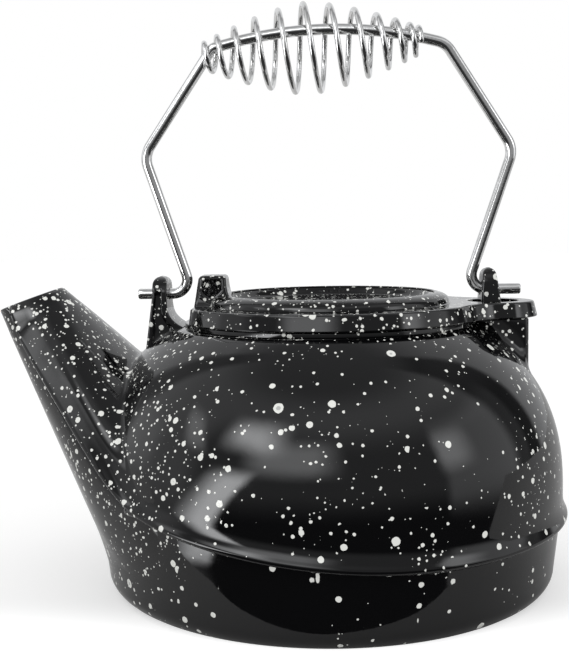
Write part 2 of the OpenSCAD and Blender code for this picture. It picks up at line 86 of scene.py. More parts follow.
def parabola(a: Arr, b: Arr, c: Arr, s: Arr | float) -> Arr:
    """Returns the point at share s of a parabola that leaves a towards b and reaches c from b."""
    return (1 - s) ** 2 * a + 2 * s * (1 - s) * b + s * s * c


def rounding(z: Arr, start: float, height: float) -> Arr:
    """Returns the share of a full width at height z: 1 up to start, then a quarter ellipse."""
    return np.sqrt(np.clip(1 - (np.clip(z - start, 0, None) / height) ** 2, 0.0009, 1))


def circle(n: int) -> tuple[Arr, Arr]:
    """Returns the cosines and sines of n even angles."""
    turn = np.linspace(0, 2 * np.pi, n, endpoint=False)
    return np.cos(turn), np.sin(turn)


def level(x: Arr, y: Arr, z: Arr | float) -> Arr:
    """Returns a row of points from their X and Y and one height or a height for each."""
    return np.stack([x, y, np.broadcast_to(z, x.shape)], -1)


# ------------------------------------------------------------------- meshes ----
class Shell:
    """Collects grids of points and turns them into one closed mesh.

    A grid is an array of rows by columns by 3. Its columns run round a closed curve.
    """

    def __init__(self, name: str, sharp: float = SHARP) -> None:
        """Starts an empty shell.

        Args:
            name: The piece's name.
            sharp: The angle in degrees above which an edge stays sharp.
        """
        self.name = name
        self.sharp = sharp
        self.points: list[Arr] = []
        self.quads: list[Arr] = []
        self.count = 0

    def grid(self, rows: Arr) -> "Shell":
        """Adds a grid whose first and last rows are poles, and which closes round its columns.

        Args:
            rows: Points in millimetres about the body's axis, rows by columns by 3.

        Returns:
            The shell, so that calls can follow each other.
        """
        m, n = rows.shape[:2]
        index = np.arange(m * n).reshape(m, n) + self.count
        right = np.roll(index, -1, axis=1)
        self.quads.append(np.stack([index[:-1], right[:-1], right[1:], index[1:]], -1).reshape(-1, 4))
        self.points.append((rows.reshape(-1, 3) + np.array([BODY_X, 0.0, 0.0])) * MM)
        self.count += m * n
        return self

    def build(self) -> bpy.types.Object:
        """Makes the mesh object: doubles merged, faces outwards, smooth but for sharp edges.

        Returns:
            The new object, at the origin and unturned.
        """
        points, quads = np.concatenate(self.points), np.concatenate(self.quads)
        mesh = bpy.data.meshes.new(self.name)
        mesh.vertices.add(len(points))
        mesh.vertices.foreach_set("co", points.ravel())
        mesh.loops.add(quads.size)
        mesh.loops.foreach_set("vertex_index", quads.ravel())
        mesh.polygons.add(len(quads))
        mesh.polygons.foreach_set("loop_start", np.arange(len(quads)) * 4)
        mesh.update(calc_edges=True)
        work = bmesh.new()
        work.from_mesh(mesh)
        bmesh.ops.remove_doubles(work, verts=work.verts, dist=2e-6)
        bmesh.ops.dissolve_degenerate(work, edges=work.edges, dist=1e-6)
        bmesh.ops.recalc_face_normals(work, faces=work.faces)
        work.to_mesh(mesh)
        work.free()
        mesh.shade_smooth()
        mesh.set_sharp_from_angle(angle=math.radians(self.sharp))
        piece = bpy.data.objects.new(self.name, mesh)
        bpy.context.scene.collection.objects.link(piece)
        return piece


def closed(rows: Sequence[Arr]) -> Arr:
    """Closes a stack of rows with a pole at each end, in the middle of the row beside it.

    Args:
        rows: Rows of points, from one end to the other.

    Returns:
        A grid with poles at both ends.
    """
    first, last = (np.broadcast_to(r.mean(0), r.shape) for r in (rows[0], rows[-1]))
    return np.stack([first, *rows, last])


def sweep(path: Arr, radius: Arr, sides: int, up: Sequence[float]) -> Arr:
    """Carries a circle along a path.

    Args:
        path: The middle line's points.
        radius: The circle's radius at each point.
        sides: How many points make the circle.
        up: A direction that is never along the path.

    Returns:
        A grid with poles at both ends.
    """
    along = unit(np.gradient(path, axis=0))
    a = unit(np.cross(along, np.asarray(up, float)))
    b = np.cross(along, a)
    cos, sin = (part[None, :, None] for part in circle(sides))
    return closed(path[:, None] + radius[:, None, None] * (a[:, None] * cos + b[:, None] * sin))


def rounded_box(x: tuple[Arr, Arr], y: tuple[Arr, Arr], z: Arr, corner: Arr, face: int = 2,
                dent: Callable[[Arr, Arr], Arr] | None = None) -> Arr:
    """Stacks rounded rectangles.

    Args:
        x: Lowest and highest X of each layer.
        y: Lowest and highest Y of each layer.
        z: Height of each layer.
        corner: Corner radius of each layer.
        face: Points across each of the two faces that look along Y.
        dent: Depth of those faces' hollows, from height and share across the face.

    Returns:
        A grid with poles at both ends.
    """
    (x0, x1), (y0, y1), z = x, y, z[:, None]
    r = np.minimum(corner, np.minimum(x1 - x0, y1 - y0) / 2 - 1e-3)
    turn = np.radians(np.linspace(0, 90, 10))
    share = np.linspace(0, 1, face + 2)[1:-1]
    rows = []
    for k, (cx, cy) in enumerate([(x1 - r, y1 - r), (x0 + r, y1 - r), (x0 + r, y0 + r), (x1 - r, y0 + r)]):
        a = turn[None] + k * np.pi / 2
        rows.append(level(cx[:, None] + r[:, None] * np.cos(a), cy[:, None] + r[:, None] * np.sin(a), z))
        if k in (0, 2):
            f = share[::-1] if k == 0 else share
            depth = dent(z, f[None]) if dent else np.zeros((len(z), face))
            edge = y1[:, None] - depth if k == 0 else y0[:, None] + depth
            rows.append(level((x0 + r)[:, None] + (x1 - x0 - 2 * r)[:, None] * f, edge, z))
    return closed(np.concatenate(rows, 1))


def drill(piece: bpy.types.Object, radius: float, start: Sequence[float], end: Sequence[float]) -> None:
    """Cuts a round hole through a piece with a Boolean that is applied at once.

    Args:
        piece: The piece.
        radius: The hole's radius.
        start: Where the hole starts, about the body's axis.
        end: Where it ends.
    """
    path = np.linspace(np.array(start, float), np.array(end, float), 3)
    tool = Shell("drill").grid(sweep(path, np.full(3, radius), 64, (0.1, 1, 0.2))).build()
    cut = piece.modifiers.new("bore", "BOOLEAN")
    cut.operation, cut.solver, cut.object = "DIFFERENCE", "EXACT", tool
    graph = bpy.context.evaluated_depsgraph_get()
    mesh = bpy.data.meshes.new_from_object(piece.evaluated_get(graph))
    piece.modifiers.clear()
    piece.data = mesh
    mesh.shade_smooth()
    mesh.set_sharp_from_angle(angle=math.radians(SHARP))
    bpy.data.objects.remove(tool)


def merged(first: bpy.types.Object, second: bpy.types.Object) -> bpy.types.Object:
    """Joins the second piece's mesh into the first piece.

    Args:
        first: The piece that stays.
        second: The piece that is used up.

    Returns:
        The first piece.
    """
    work = bmesh.new()
    for piece in (first, second):
        work.from_mesh(piece.data)
    work.to_mesh(first.data)
    work.free()
    bpy.data.objects.remove(second)
    return first


class Part:
    """A piece that is seen: its name, body, slot and the CAD nodes that it stands for."""

    name: ClassVar[str]
    body_name: ClassVar[str]
    nodes: ClassVar[tuple[str, ...]]
    slot: ClassVar[Slot]

    def build(self) -> bpy.types.Object:
        """Makes the piece's mesh."""
        raise NotImplementedError

    def dress(self, finish: bpy.types.Material) -> None:
        """Makes the piece, gives it its finish, and lets it move with its body.

        Args:
            finish: The piece's only material.
        """
        piece = self.build()
        piece.data.materials.clear()
        piece.data.materials.append(finish)
        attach(piece, self.body_name)
        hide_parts(*self.nodes)
        LOG.info("%s: %d faces, rides on %s", piece.name, len(piece.data.polygons), self.body_name)


# --------------------------------------------------------------------- body ----
@dataclass(frozen=True)
class BodyShape:
    """The pot's body of revolution, its seam and its lip."""

    foot_r: float = 86.0
    foot_round: float = 7.5
    skirt_r: float = 96.0
    belly_r: float = 98.2
    belly_z: float = 40.0
    power: float = 2.4
    shoulder_r: float = 62.9
    shoulder_z: float = 106.3
    rim_r: float = 60.5
    rim_z: float = 108.5
    mouth_r: float = 50.0
    rim_x: float = 2.4
    wall: float = 4.0
    floor: tuple = ((87.0, 7.0), (80.5, 4.0), (40.0, 4.0), (0.5, 4.0))      # inner radii and heights
    seam_z: float = 28.8
    seam_rise: float = 0.00086
    seam_start: float = 53.0
    spout_seam_z: float = 74.2
    spout_seam_slope: float = 1.23
    seam_soft: float = 4.0
    lip_foot: float = -1.8
    lip_flare: float = 8.0
    nose_q: tuple = (-1.1, -0.5, -0.1, 0.35, 0.9, 1.4, 1.9)
    nose_out: tuple = (-0.3, 0.95, 1.45, 1.78, 1.9, 1.82, 1.6)

    @property
    def dome_h(self) -> float:
        """Height of the whole superellipse above the belly."""
        narrow = (self.shoulder_r / self.belly_r) ** 2
        return (self.shoulder_z - self.belly_z) / (1 - narrow) ** (1 / self.power)

    def dome_r(self, z: Arr) -> Arr:
        """Radius of the dome at height z: belly times sqrt(1 - u^power)."""
        u = np.clip((np.asarray(z, float) - self.belly_z) / self.dome_h, 0, 0.9999)
        return self.belly_r * np.sqrt(1 - u ** self.power)

    def dome_slope(self, z: Arr) -> Arr:
        """Change of the dome's radius per millimetre of height."""
        return (self.dome_r(np.asarray(z) + 0.05) - self.dome_r(np.asarray(z) - 0.05)) / 0.1

    def dome_height(self, r: Arr) -> Arr:
        """Height of the dome's skin at radius r."""
        r = np.clip(r, self.shoulder_r, self.belly_r)
        return self.belly_z + self.dome_h * (1 - (r / self.belly_r) ** 2) ** (1 / self.power)

    def foot_edge(self, z: Arr) -> Arr:
        """Draws the skin below the seam: a straight skirt over a quarter round.

        Args:
            z: Heights.

        Returns:
            Radius at each height.
        """
        z = np.asarray(z, float)
        low = self.foot_r + np.sqrt(np.clip(self.foot_round ** 2 - (self.foot_round - z) ** 2, 0, None))
        share = (z - self.foot_round) / (self.seam_z - self.foot_round)
        high = lerp(self.foot_r + self.foot_round, self.skirt_r, share)
        return np.where(z < self.foot_round, low, np.minimum(high, self.skirt_r))

    def seam(self, x: Arr) -> Arr:
        """Draws the seam: a shallow parabola and the spout's straight line, joined softly.

        The larger of the two counts, as half their sum plus a rounded half of their difference.

        Args:
            x: Places along X.

        Returns:
            The seam's height at each place.
        """
        x = np.asarray(x, float)
        belly = self.seam_z + self.seam_rise * np.maximum(0, self.seam_start - x) ** 2
        spout = self.spout_seam_z - self.spout_seam_slope * (x + 100)
        half = (belly - spout) / 2
        return (belly + spout) / 2 + np.sqrt(half * half + self.seam_soft ** 2)

    def lip(self, q: Arr) -> Arr:
        """Draws the lip: a blunt nose, and a flare that runs out as a parabola.

        Args:
            q: Heights above the seam.

        Returns:
            How far the lip stands out from the belly at each height.
        """
        q = np.asarray(q, float)
        nose = np.interp(q, (self.lip_foot, *self.nose_q), (self.skirt_r - self.belly_r, *self.nose_out))
        end = self.nose_q[-1]
        flare = self.nose_out[-1] * np.clip(1 - (q - end) / (self.lip_flare - end), 0, 1) ** 2
        return np.where(q > end, flare, nose)

    def skin_r(self, z: Arr, q: Arr) -> Arr:
        """Radius of the outer skin at height z, q above the seam."""
        return np.where(q > self.lip_foot, self.dome_r(z) + self.lip(q), self.foot_edge(z))


LIP_ROWS = (7.0, 5.5, 4.2, 3.2, 2.5, 1.9, 1.4, 0.9, 0.35, -0.1, -0.5, -1.1, -1.8)
FLANK_ROWS = LIP_ROWS + (-2.4, -3.1, -3.9, -5.2, -7.2, -9.2, -12.0)
FINE_TURNS = np.linspace(0, 180, 1441)      # half a ring in degrees, fine enough to measure on


# -------------------------------------------------------------------- spout ----
@dataclass(frozen=True)
class SpoutShape:
    """The spout, a loft of rings from its mouth to the belly.

    A ring's angle is 0 on top, 90 on the seam and 180 under the keel.
    """

    body: BodyShape
    tip_x: float = 137.1
    tip_z: float = 114.2
    mouth_len: float = 28.0
    mouth_w: float = 26.0
    mouth_round: float = 0.9
    tilt: float = math.radians(19.3)
    wall: float = 3.2
    root_x: float = -78.6
    root_z: float = 94.0
    seam_turn: float = 118.0
    power: float = 1.65
    crease: float = 3.2
    trough: float = 17.0
    lip_swell: float = 0.55
    groove_q: tuple = (-12.0, -7.2, -3.9, -2.4, -1.1, -0.5, -0.1)
    groove_out: tuple = (0.0, -0.4, -0.9, -2.1, -2.6, -2.2, 1.3)
    rings: int = 60
    skin_rows: int = 46
    fillet_rows: int = 10

    @property
    def mouth(self) -> Arr:
        """Middle of the mouth."""
        half = self.mouth_len / 2 * np.array([math.cos(self.tilt), 0, math.sin(self.tilt)])
        return half + np.array([-self.tip_x, 0, self.tip_z])

    @property
    def flank(self) -> float:
        """Angle from the spout's plane to where its flanks leave the belly, in radians."""
        return math.acos((self.body.belly_r - self.mouth_w / 2) / -self.mouth[0])

    def mouth_turn(self, t: Arr) -> Arr:
        """Angle on the mouth's ellipse, in degrees from its top, of a ring's angle t."""
        under = self.seam_turn + (t - 90) * (180 - self.seam_turn) / 90
        return np.where(t <= 90, t * self.seam_turn / 90, under)

    def mouth_point(self, turn: Arr | float, inset: Arr | float) -> Arr:
        """Draws the mouth's tilted ellipse.

        Args:
            turn: Angle in degrees from its top.
            inset: Distance inside the outer skin.

        Returns:
            The point at each angle.
        """
        a = np.radians(turn)
        s = (self.mouth_len / 2 - inset) * np.cos(a)
        y = (self.mouth_w / 2 - inset) * np.sin(a)
        return self.mouth + np.stack([s * math.cos(self.tilt), y, s * math.sin(self.tilt)], -1)

    def seam_point(self, u: Arr, inset: float) -> Arr:
        """Follows the seam along the near flank, from its place on the mouth.

        Args:
            u: Share of the way from the mouth to the belly.
            inset: Distance inside the outer skin.

        Returns:
            The point at each share.
        """
        a, r = self.mouth_point(self.seam_turn, inset), self.body.belly_r - 1.3 * inset
        x = lerp(a[0], -r * math.cos(self.flank), u)
        y = lerp(a[1], r * math.sin(self.flank), u)
        settled = np.minimum(1, u / 0.08)
        return np.stack([x, y, lerp(a[2], self.body.seam(x), settled)], -1)

    def ring(self, u: Arr | float, t: Arr, inset: float) -> Arr:
        """Points of the loft.

        Each quarter of a ring is drawn between the seam and the top or keel line. Its shape
        changes from the mouth's ellipse to a superellipse at the root.

        Args:
            u: Share of the way from the mouth to the belly.
            t: Angle in degrees: 0 on top, 90 on the seam, 180 under the keel.
            inset: Distance inside the outer skin.

        Returns:
            Points with u and t broadcast together.
        """
        u, t = np.broadcast_arrays(np.asarray(u, float), np.asarray(t, float))
        over = t <= 90
        seam = self.seam_point(u, inset)
        crown, chin = self.mouth_point(0.0, inset), self.mouth_point(180.0, inset)
        top = lerp(crown, np.array([self.root_x + 0.6 * inset, 0, self.root_z - inset]), u[..., None])
        keel = lerp(chin, np.array([1.2 * inset - self.body.foot_r - 0.6, 0, inset]), u[..., None])
        end = np.where(over[..., None], top, keel)
        at, side = self.mouth_point(self.mouth_turn(t), inset), self.mouth_point(self.seam_turn, inset)
        far = np.where(over, crown[2], chin[2])
        h_mouth, w_mouth = (at[..., 2] - side[2]) / (far - side[2]), at[..., 1] / side[1]
        a = np.radians(t)
        h_root = np.abs(np.cos(a)) ** (2 / self.power)
        w_root = np.clip(np.sin(a), 0, 1) ** (2 / self.power)
        v = np.minimum(1, u) ** 0.8
        h, w = lerp(h_mouth, h_root, v), lerp(w_mouth, w_root, v)
        return np.stack([lerp(seam[..., 0], end[..., 0], h), seam[..., 1] * w,
                         lerp(seam[..., 2], end[..., 2], h)], -1)

    def heights(self, u: float, turns: Arr) -> Arr:
        """Measures along a ring from the seam.

        Args:
            u: Share of the way from the mouth to the belly.
            turns: Angles on the ring in degrees.

        Returns:
            Distance from the seam to each angle, positive above.
        """
        step = np.linalg.norm(np.diff(self.ring(u, FINE_TURNS, 0), axis=0), axis=1)
        along = np.concatenate([[0], np.cumsum(step)])
        return np.interp(90, FINE_TURNS, along) - np.interp(turns, FINE_TURNS, along)

    def turns(self, u: float, lip: float) -> Arr:
        """Spreads one ring's points, close together where the lip is.

        Args:
            u: Share of the way from the mouth to the belly.
            lip: Size of the lip there, 1 on the body.

        Returns:
            Angles in degrees.
        """
        knots = np.interp(np.array(FLANK_ROWS) * lip, self.heights(u, FINE_TURNS)[::-1], FINE_TURNS[::-1])
        top = knots[0] * np.linspace(0, 1, 22)[:-1]
        return np.concatenate([top, knots, lerp(knots[-1], 180, np.linspace(0, 1, 20)[1:])])

    def outside(self) -> Arr:
        """Half of the outer skin with its lip, from the mouth into a fillet on the body.

        The straight lines of the loft stop short of the body, and a parabola leads each one
        on to the body's skin. The fillet is narrow above the seam and wide below it. A groove
        follows the lip's underside and runs out below it.

        Returns:
            Rows from mouth to root by points from top to keel.
        """
        shares = np.linspace(0, 1, self.rings)
        swell = self.lip_swell * smooth(0, 0.25, shares) * (1 - smooth(0.7, 1, shares))
        lips = lerp(0.75, 1.0, shares) + swell
        turns = np.stack([self.turns(float(u), float(f)) for u, f in zip(shares, lips)])
        q = np.stack([self.heights(float(u), t) for u, t in zip(shares, turns)]) / lips[:, None]
        base = self.ring(shares[:, None], turns, 0)
        groove = np.interp(q, self.groove_q, self.groove_out)
        step = (self.body.skirt_r - self.body.belly_r) * (1 - smooth(100, 135, turns))
        plain = np.where(q > self.body.lip_foot - 0.01, self.body.lip(q), step)
        below = lerp(groove, plain, shares[:, None] ** 3)
        out = np.where(q > -0.05, self.body.lip(q), below) * lips[:, None]
        base[..., 0] -= out * math.cos(self.flank)
        base[..., 1] += out * math.sin(self.flank) * smooth(0, 30, turns)
        return self.landed(base, turns)

    def landed(self, base: Arr, turns: Arr) -> Arr:
        """Ends the loft's lines on the body with fillets.

        Each line is cut where it meets the body's skin, less the fillet's reach, and its
        points are spread again. Their last lengths are evened out between neighbours.

        Args:
            base: The loft's points, rows from mouth to root.
            turns: Their angles on the rings.

        Returns:
            Rows that run on to the body and end just inside its skin.
        """
        n, rows = base.shape[1], self.skin_rows
        middle = base.mean(1, keepdims=True) * np.array([1, 0, 1])
        height = base[..., 2] - self.body.seam(np.maximum(base[..., 0], -self.body.belly_r))
        gap = self.gap(base, height)
        result = np.empty((rows + self.fillet_rows, n, 3))
        lines = []
        for k in range(n):
            line = base[:, k]
            inside = np.nonzero(gap[:, k] < 0)[0]
            stop = inside[0] if len(inside) else len(line) - 1
            part = 1.0
            if len(inside) and stop > 0:
                part = gap[stop - 1, k] / (gap[stop - 1, k] - gap[stop, k])
            path = np.vstack([line[:stop], lerp(line[stop - 1], line[stop], part)])
            far = np.concatenate([[0], np.cumsum(np.linalg.norm(np.diff(path, axis=0), axis=1))])
            reach = float(lerp(self.crease, self.trough, smooth(84, 118, turns[-1, k])))
            lines.append((path, far, reach, middle[stop, 0]))
        length = np.array([far[-1] - reach for _, far, reach, _ in lines])
        even = np.convolve(np.pad(length, 4, "edge"), np.ones(9) / 9, "valid")
        share = np.linspace(0, 1, rows)
        bend = np.linspace(0, 1, self.fillet_rows)[1:, None]
        for k, (path, far, reach, inner) in enumerate(lines):
            at = share * even[k] + (length[k] - even[k]) * share ** 4
            for c in range(3):
                result[:rows, k, c] = np.interp(at, far, path[:, c])
            hit, start = path[-1], result[rows - 1, k]
            end = self.on_body(hit, unit(hit - start), hit - inner, reach)
            result[rows:-1, k] = parabola(start, hit, end, bend)
            result[-1, k] = end * np.array([0.985, 0.985, 1])
        return result

    def axis_x(self, q: Arr | float) -> Arr:
        """X of the axis of the body's skin, q above the seam: the foot stands off the belly's."""
        return np.where(np.asarray(q) > self.body.lip_foot, 0.0, -BODY_X)

    def gap(self, p: Arr, q: Arr) -> Arr:
        """Distance of points from the body's axis, less the radius of its skin there."""
        return np.hypot(p[..., 0] - self.axis_x(q), p[..., 1]) - self.body.skin_r(p[..., 2], q)

    def on_body(self, hit: Arr, along: Arr, outward: Arr, reach: float) -> Arr:
        """Finds where a fillet ends on the body's skin.

        A line that meets the skin steeply is turned outwards, away from the spout's middle. A
        line that grazes it runs on, and keeps its height above the seam.

        Args:
            hit: Where the line meets the skin.
            along: The line's direction.
            outward: Direction away from the spout's middle.
            reach: How far the fillet runs along the skin.

        Returns:
            The point, just inside the skin.
        """
        body, edge = self.body, -self.body.belly_r
        slope = float(body.dome_slope(hit[2])) if hit[2] > body.belly_z else 0.0
        normal = unit(np.array([hit[0], hit[1], -slope * math.hypot(hit[0], hit[1])]))
        way = along - normal * (along @ normal)
        steep = float(smooth(0.05, 0.4, -(along @ normal)))
        side = unit(outward - along * (outward @ along)) * steep
        way = unit(way + side - normal * (side @ normal))
        end = hit + reach * way
        kept = hit[2] - float(body.seam(max(hit[0], edge))) + float(body.seam(max(end[0], edge)))
        end[2] = max(lerp(kept, end[2], steep), 1.5)
        q = end[2] - float(body.seam(max(end[0], edge)))
        centre = float(self.axis_x(q))
        r = float(body.skin_r(end[2], q)) - 0.06
        turn = math.atan2(end[1], end[0] - centre)
        return np.array([centre + r * math.cos(turn), r * math.sin(turn), end[2]])

    def grid(self) -> Arr:
        """The whole spout: inner wall, rounded mouth and outer skin.

        Returns:
            Rows from the inner wall's root over the mouth to the outer skin's root.
        """
        turns = self.turns(0.0, 0.75)
        normal = np.array([-math.sin(self.tilt), 0, math.cos(self.tilt)])
        half = self.wall / 2
        mouth = [self.mouth_point(self.mouth_turn(turns), half - half * math.cos(a))
                 - normal * self.mouth_round * (1 - math.sin(a) ** 0.5)
                 for a in np.radians(np.linspace(8, 172, 9))]
        inner = [self.ring(float(u), turns, self.wall) for u in np.linspace(0.04, 1.05, 16)[::-1]]
        rows = np.concatenate([np.stack(inner), np.stack(mouth[::-1]), self.outside()[1:]])
        rows[..., 2] = np.maximum(rows[..., 2], 0.2)
        mirrored = rows[:, -2:0:-1] * np.array([1, -1, 1])
        return np.concatenate([rows, mirrored], 1)


# ---------------------------------------------------------------------- pot ----
@dataclass(frozen=True)
class Tower:
    """Block that carries the pivot, with a wide hollow foot on the dome."""

    front: float = 46.0
    back: float = 83.8
    half_w: float = 13.0
    corner: float = 2.6
    side_reach: float = 9.0
    back_reach: float = 2.4
    buried_z: float = 78.0

    def outline(self) -> tuple[Arr, Arr]:
        """Draws the block's outline round its sides and back.

        Returns:
            X and Y of its points, from the front of one side to the front of the other.
        """
        r, w = self.corner, self.half_w
        a = np.radians(np.linspace(0, 90, 9))
        round_x, round_y = self.back - r + r * np.cos(a), w - r + r * np.sin(a)
        flat = np.linspace(-(w - r), w - r, 14)[1:-1]
        side = np.linspace(self.back - r, self.front, 26)[1:]
        x = np.concatenate([side[::-1], round_x[::-1], np.full(12, self.back), round_x, side])
        y = np.concatenate([np.full(25, w), round_y[::-1], flat[::-1], -round_y, np.full(25, -w)])
        return x, y

    def grid(self, body: BodyShape) -> Arr:
        """Stacks the outline from the rim's height down into the dome.

        Each upright line of the outline runs down to the dome and then out along a quarter
        curve, which is wide at the sides and narrow at the back.

        Args:
            body: The body that the block stands on.

        Returns:
            A grid with poles at both ends.
        """
        x, y = self.outline()
        turned = smooth(self.back - self.corner - 0.5, self.back, x)
        sides, rear = np.stack([0 * x, np.sign(y)], -1), np.stack([np.ones_like(x), 0 * y], -1)
        out = unit(lerp(sides, rear, turned[:, None]))
        reach = lerp(self.side_reach, self.back_reach, turned) * lerp(1.0, 0.75, smooth(70, 46, x))
        w, top = self.half_w - 3, body.rim_z
        rows = [level(np.clip(x, self.front + 3, self.back - 3), np.clip(y, -w, w), top)]
        for inset, drop in ((0.5, 0.0), (0.15, 0.15), (0.0, 0.6)):
            rows.append(level(x - inset * out[:, 0], y - inset * out[:, 1], top - drop))
        knee = body.dome_height(np.hypot(x, y))
        wall = np.minimum(knee + reach * 1.05, top - 0.7)
        rows += [level(x, y, lerp(top - 0.6, wall, s)) for s in np.linspace(0, 1, 6)[1:]]
        foot = np.stack([x, y], -1) + reach[:, None] * out
        land = body.dome_height(np.hypot(foot[:, 0], foot[:, 1])) - 0.08
        start, end = level(x, y, wall), level(foot[:, 0], foot[:, 1], land)
        middle = level(x + 0.02 * reach * out[:, 0], y + 0.02 * reach * out[:, 1], knee)
        rows += [parabola(start, middle, end, s) for s in np.linspace(0, 1, 12)[1:]]
        rows.append(level(foot[:, 0] * 0.96, foot[:, 1] * 0.96, land - 6))
        rows.append(level(x * 0.9, y * 0.8, self.buried_z))
        return closed(rows)


@dataclass(frozen=True)
class Pot(Part):
    """The casting: body, spout, ears, tower and pivot boss."""

    name: ClassVar[str] = "pot_casting"
    body_name: ClassVar[str] = "pot"
    nodes: ClassVar[tuple[str, ...]] = ("pot", "spout")
    slot: ClassVar[Slot] = Slot.ENAMEL

    body: BodyShape = BodyShape()
    spout: SpoutShape = SpoutShape(BodyShape())
    tower: Tower = Tower()
    around: int = 300
    tuck: float = 4.0            # how far the body's skin draws in behind the spout
    boss_x: float = 71.0
    boss_profile: tuple = ((10.3, 104.0), (10.3, 112.0), (10.0, 112.3), (9.4, 112.35))

    def body_grid(self) -> Arr:
        """Outer skin from under the foot to the rim, then the inner skin down to the floor.

        The foot and the skirt turn about the frame's own axis, the dome about the body's, and
        rim and mouth about the lid's. The inner skin lies one wall inside the dome, square to it.

        Returns:
            A grid with poles at both ends.
        """
        b = self.body
        cos, sin = circle(self.around)
        turn = np.linspace(0, 2 * np.pi, self.around, endpoint=False)
        away = np.degrees(np.abs(turn - np.pi) - self.spout.flank)
        free = smooth(-11, -4, away)
        tuck = self.tuck * (1 - free)
        seam = b.seam(np.maximum(b.belly_r * cos, -b.belly_r * math.cos(self.spout.flank)))
        quarter = np.radians([30, 60, 90])
        rows: list[Arr] = []

        def row(r: Arr | float, z: Arr | float, centre: float = 0.0) -> None:
            """Adds one ring."""
            rows.append(level(centre + r * cos, r * sin, z))

        for r in (0.5, 30.0, 60.0, 80.0, b.foot_r - 1):
            row(r, 0.0, -BODY_X)
        for a in np.radians(np.linspace(-84, 0, 9)):
            row(b.foot_r + b.foot_round * math.cos(a), b.foot_round * (1 + math.sin(a)), -BODY_X)
        for s in np.linspace(0, 1, 8)[1:-1]:
            z = lerp(b.foot_round, seam + b.lip_foot, s)
            row(b.foot_edge(z) - tuck * smooth(20, 32, z), z, -BODY_X)
        for q in LIP_ROWS[::-1]:
            r = b.dome_r(seam + q) + b.lip(q) * free - tuck * (1 - smooth(1, 8, q))
            row(r, seam + q, -BODY_X if q < -1.5 else 0.0)
        for s in np.linspace(0, 1, 50):
            z = lerp(seam + b.lip_flare, b.shoulder_z - 0.4, s)
            row(b.dome_r(z), z)
        row(b.shoulder_r - 0.6, b.shoulder_z)
        for r, z in ((b.rim_r + 0.3, b.shoulder_z + 0.1), (b.rim_r, b.shoulder_z + 0.4),
                     (b.rim_r, b.rim_z - 0.5)):
            row(r, z, b.rim_x)
        for a in quarter:
            row(b.rim_r - 0.5 + 0.5 * math.cos(a), b.rim_z - 0.5 + 0.5 * math.sin(a), b.rim_x)
        row(b.mouth_r + 1, b.rim_z, b.rim_x)
        for a in quarter:
            row(b.mouth_r + 1 - math.sin(a), b.rim_z - 1 + math.cos(a), b.rim_x)
        z = np.linspace(b.shoulder_z - 1.5, b.belly_z, 34)
        r, slope = b.dome_r(z), b.dome_slope(z)
        norm = np.sqrt(1 + slope * slope)
        inner_r, inner_z = r - b.wall / norm, z + b.wall * slope / norm
        row(b.mouth_r, float(inner_z[0]), b.rim_x)
        for r_in, z_in in zip(inner_r[1:], inner_z[1:]):
            row(float(r_in), float(z_in))
        row(b.skirt_r - b.wall, b.seam_z)
        for r_in, z_in in b.floor:
            row(r_in, z_in, -BODY_X)
        return closed(rows)

    def front_ear(self) -> Arr:
        """Tapered ear with a round top and a hollow curve down to the rim.

        Straight tapers give its width and its front. Its back swells towards the rim with the
        fourth power of the depth.

        Returns:
            A grid with poles at both ends.
        """
        foot, knee, top = 92.0, 106.6, 127.5
        bend = PIN_Z + 0.6
        z = np.concatenate([np.linspace(foot, 106, 6), np.linspace(knee, PIN_Z, 14),
                            np.linspace(bend, top, 16)])
        left = np.interp(z, [foot, 97.7, PIN_Z], [-75.2, -73.9, -70.9])
        h = np.clip((z - knee) / (PIN_Z - knee), 0, 1)
        right = -64.9 + 6.6 * (1 - h) ** 4
        mid, half = (left + right) / 2, (right - left) / 2 * rounding(z, 124.4, 3.12)
        width = np.interp(z, [foot, 106, top], [11.4, 10.6, 9.4]) * lerp(1, rounding(z, bend, 6.95), 0.88)

        def panel(height: Arr, share: Arr) -> Arr:
            """A shallow panel that follows the ear's outline."""
            across = smooth(0.06, 0.2, share) * (1 - smooth(0.62, 0.76, share))
            return 0.9 * across * smooth(97.5, 100, height - 6 * share) * (1 - smooth(120, 123, height))

        return rounded_box((mid - half, mid + half), (-width, width), z, np.full(len(z), 0.8), 26, panel)

    def rear_ear(self) -> Arr:
        """Upright ear on the pivot with a round top.

        Returns:
            A grid with poles at both ends.
        """
        foot = 107.0
        z = np.concatenate([np.linspace(foot, PIN_Z, 12), np.linspace(PIN_Z + 0.6, 129.0, 16)])
        left = np.interp(z, [foot, PIN_Z, 128], [65.2, 65.5, 66.2])
        right = np.interp(z, [foot, 114, PIN_Z, 128], [74.0, 73.5, 72.6, 71.5])
        mid, half = (left + right) / 2, (right - left) / 2 * rounding(z, 126.2, 2.85)
        width = np.interp(z, [foot, 128.2], [7.5, 6.2]) * lerp(1, rounding(z, 122.8, 6.25), 0.85)
        return rounded_box((mid - half, mid + half), (-width, width), z, np.full(len(z), 0.9))

    def boss(self) -> Arr:
        """Pivot boss that the lid turns on."""
        cos, sin = circle(96)
        return closed([level(self.boss_x + r * cos, r * sin, z) for r, z in self.boss_profile])

    def build(self) -> bpy.types.Object:
        """Makes the casting and cuts the bores for the bail's pins.

        Returns:
            The finished piece.
        """
        shell = Shell(self.name)
        shell.grid(self.body_grid()).grid(closed(self.spout.grid()))
        shell.grid(self.tower.grid(self.body)).grid(self.boss())
        ears = Shell("ears").grid(self.front_ear()).grid(self.rear_ear()).build()
        drill(ears, PIN_BORE, (-PIN_REACH, 0, PIN_Z), (PIN_REACH, 0, PIN_Z))
        return merged(shell.build(), ears)


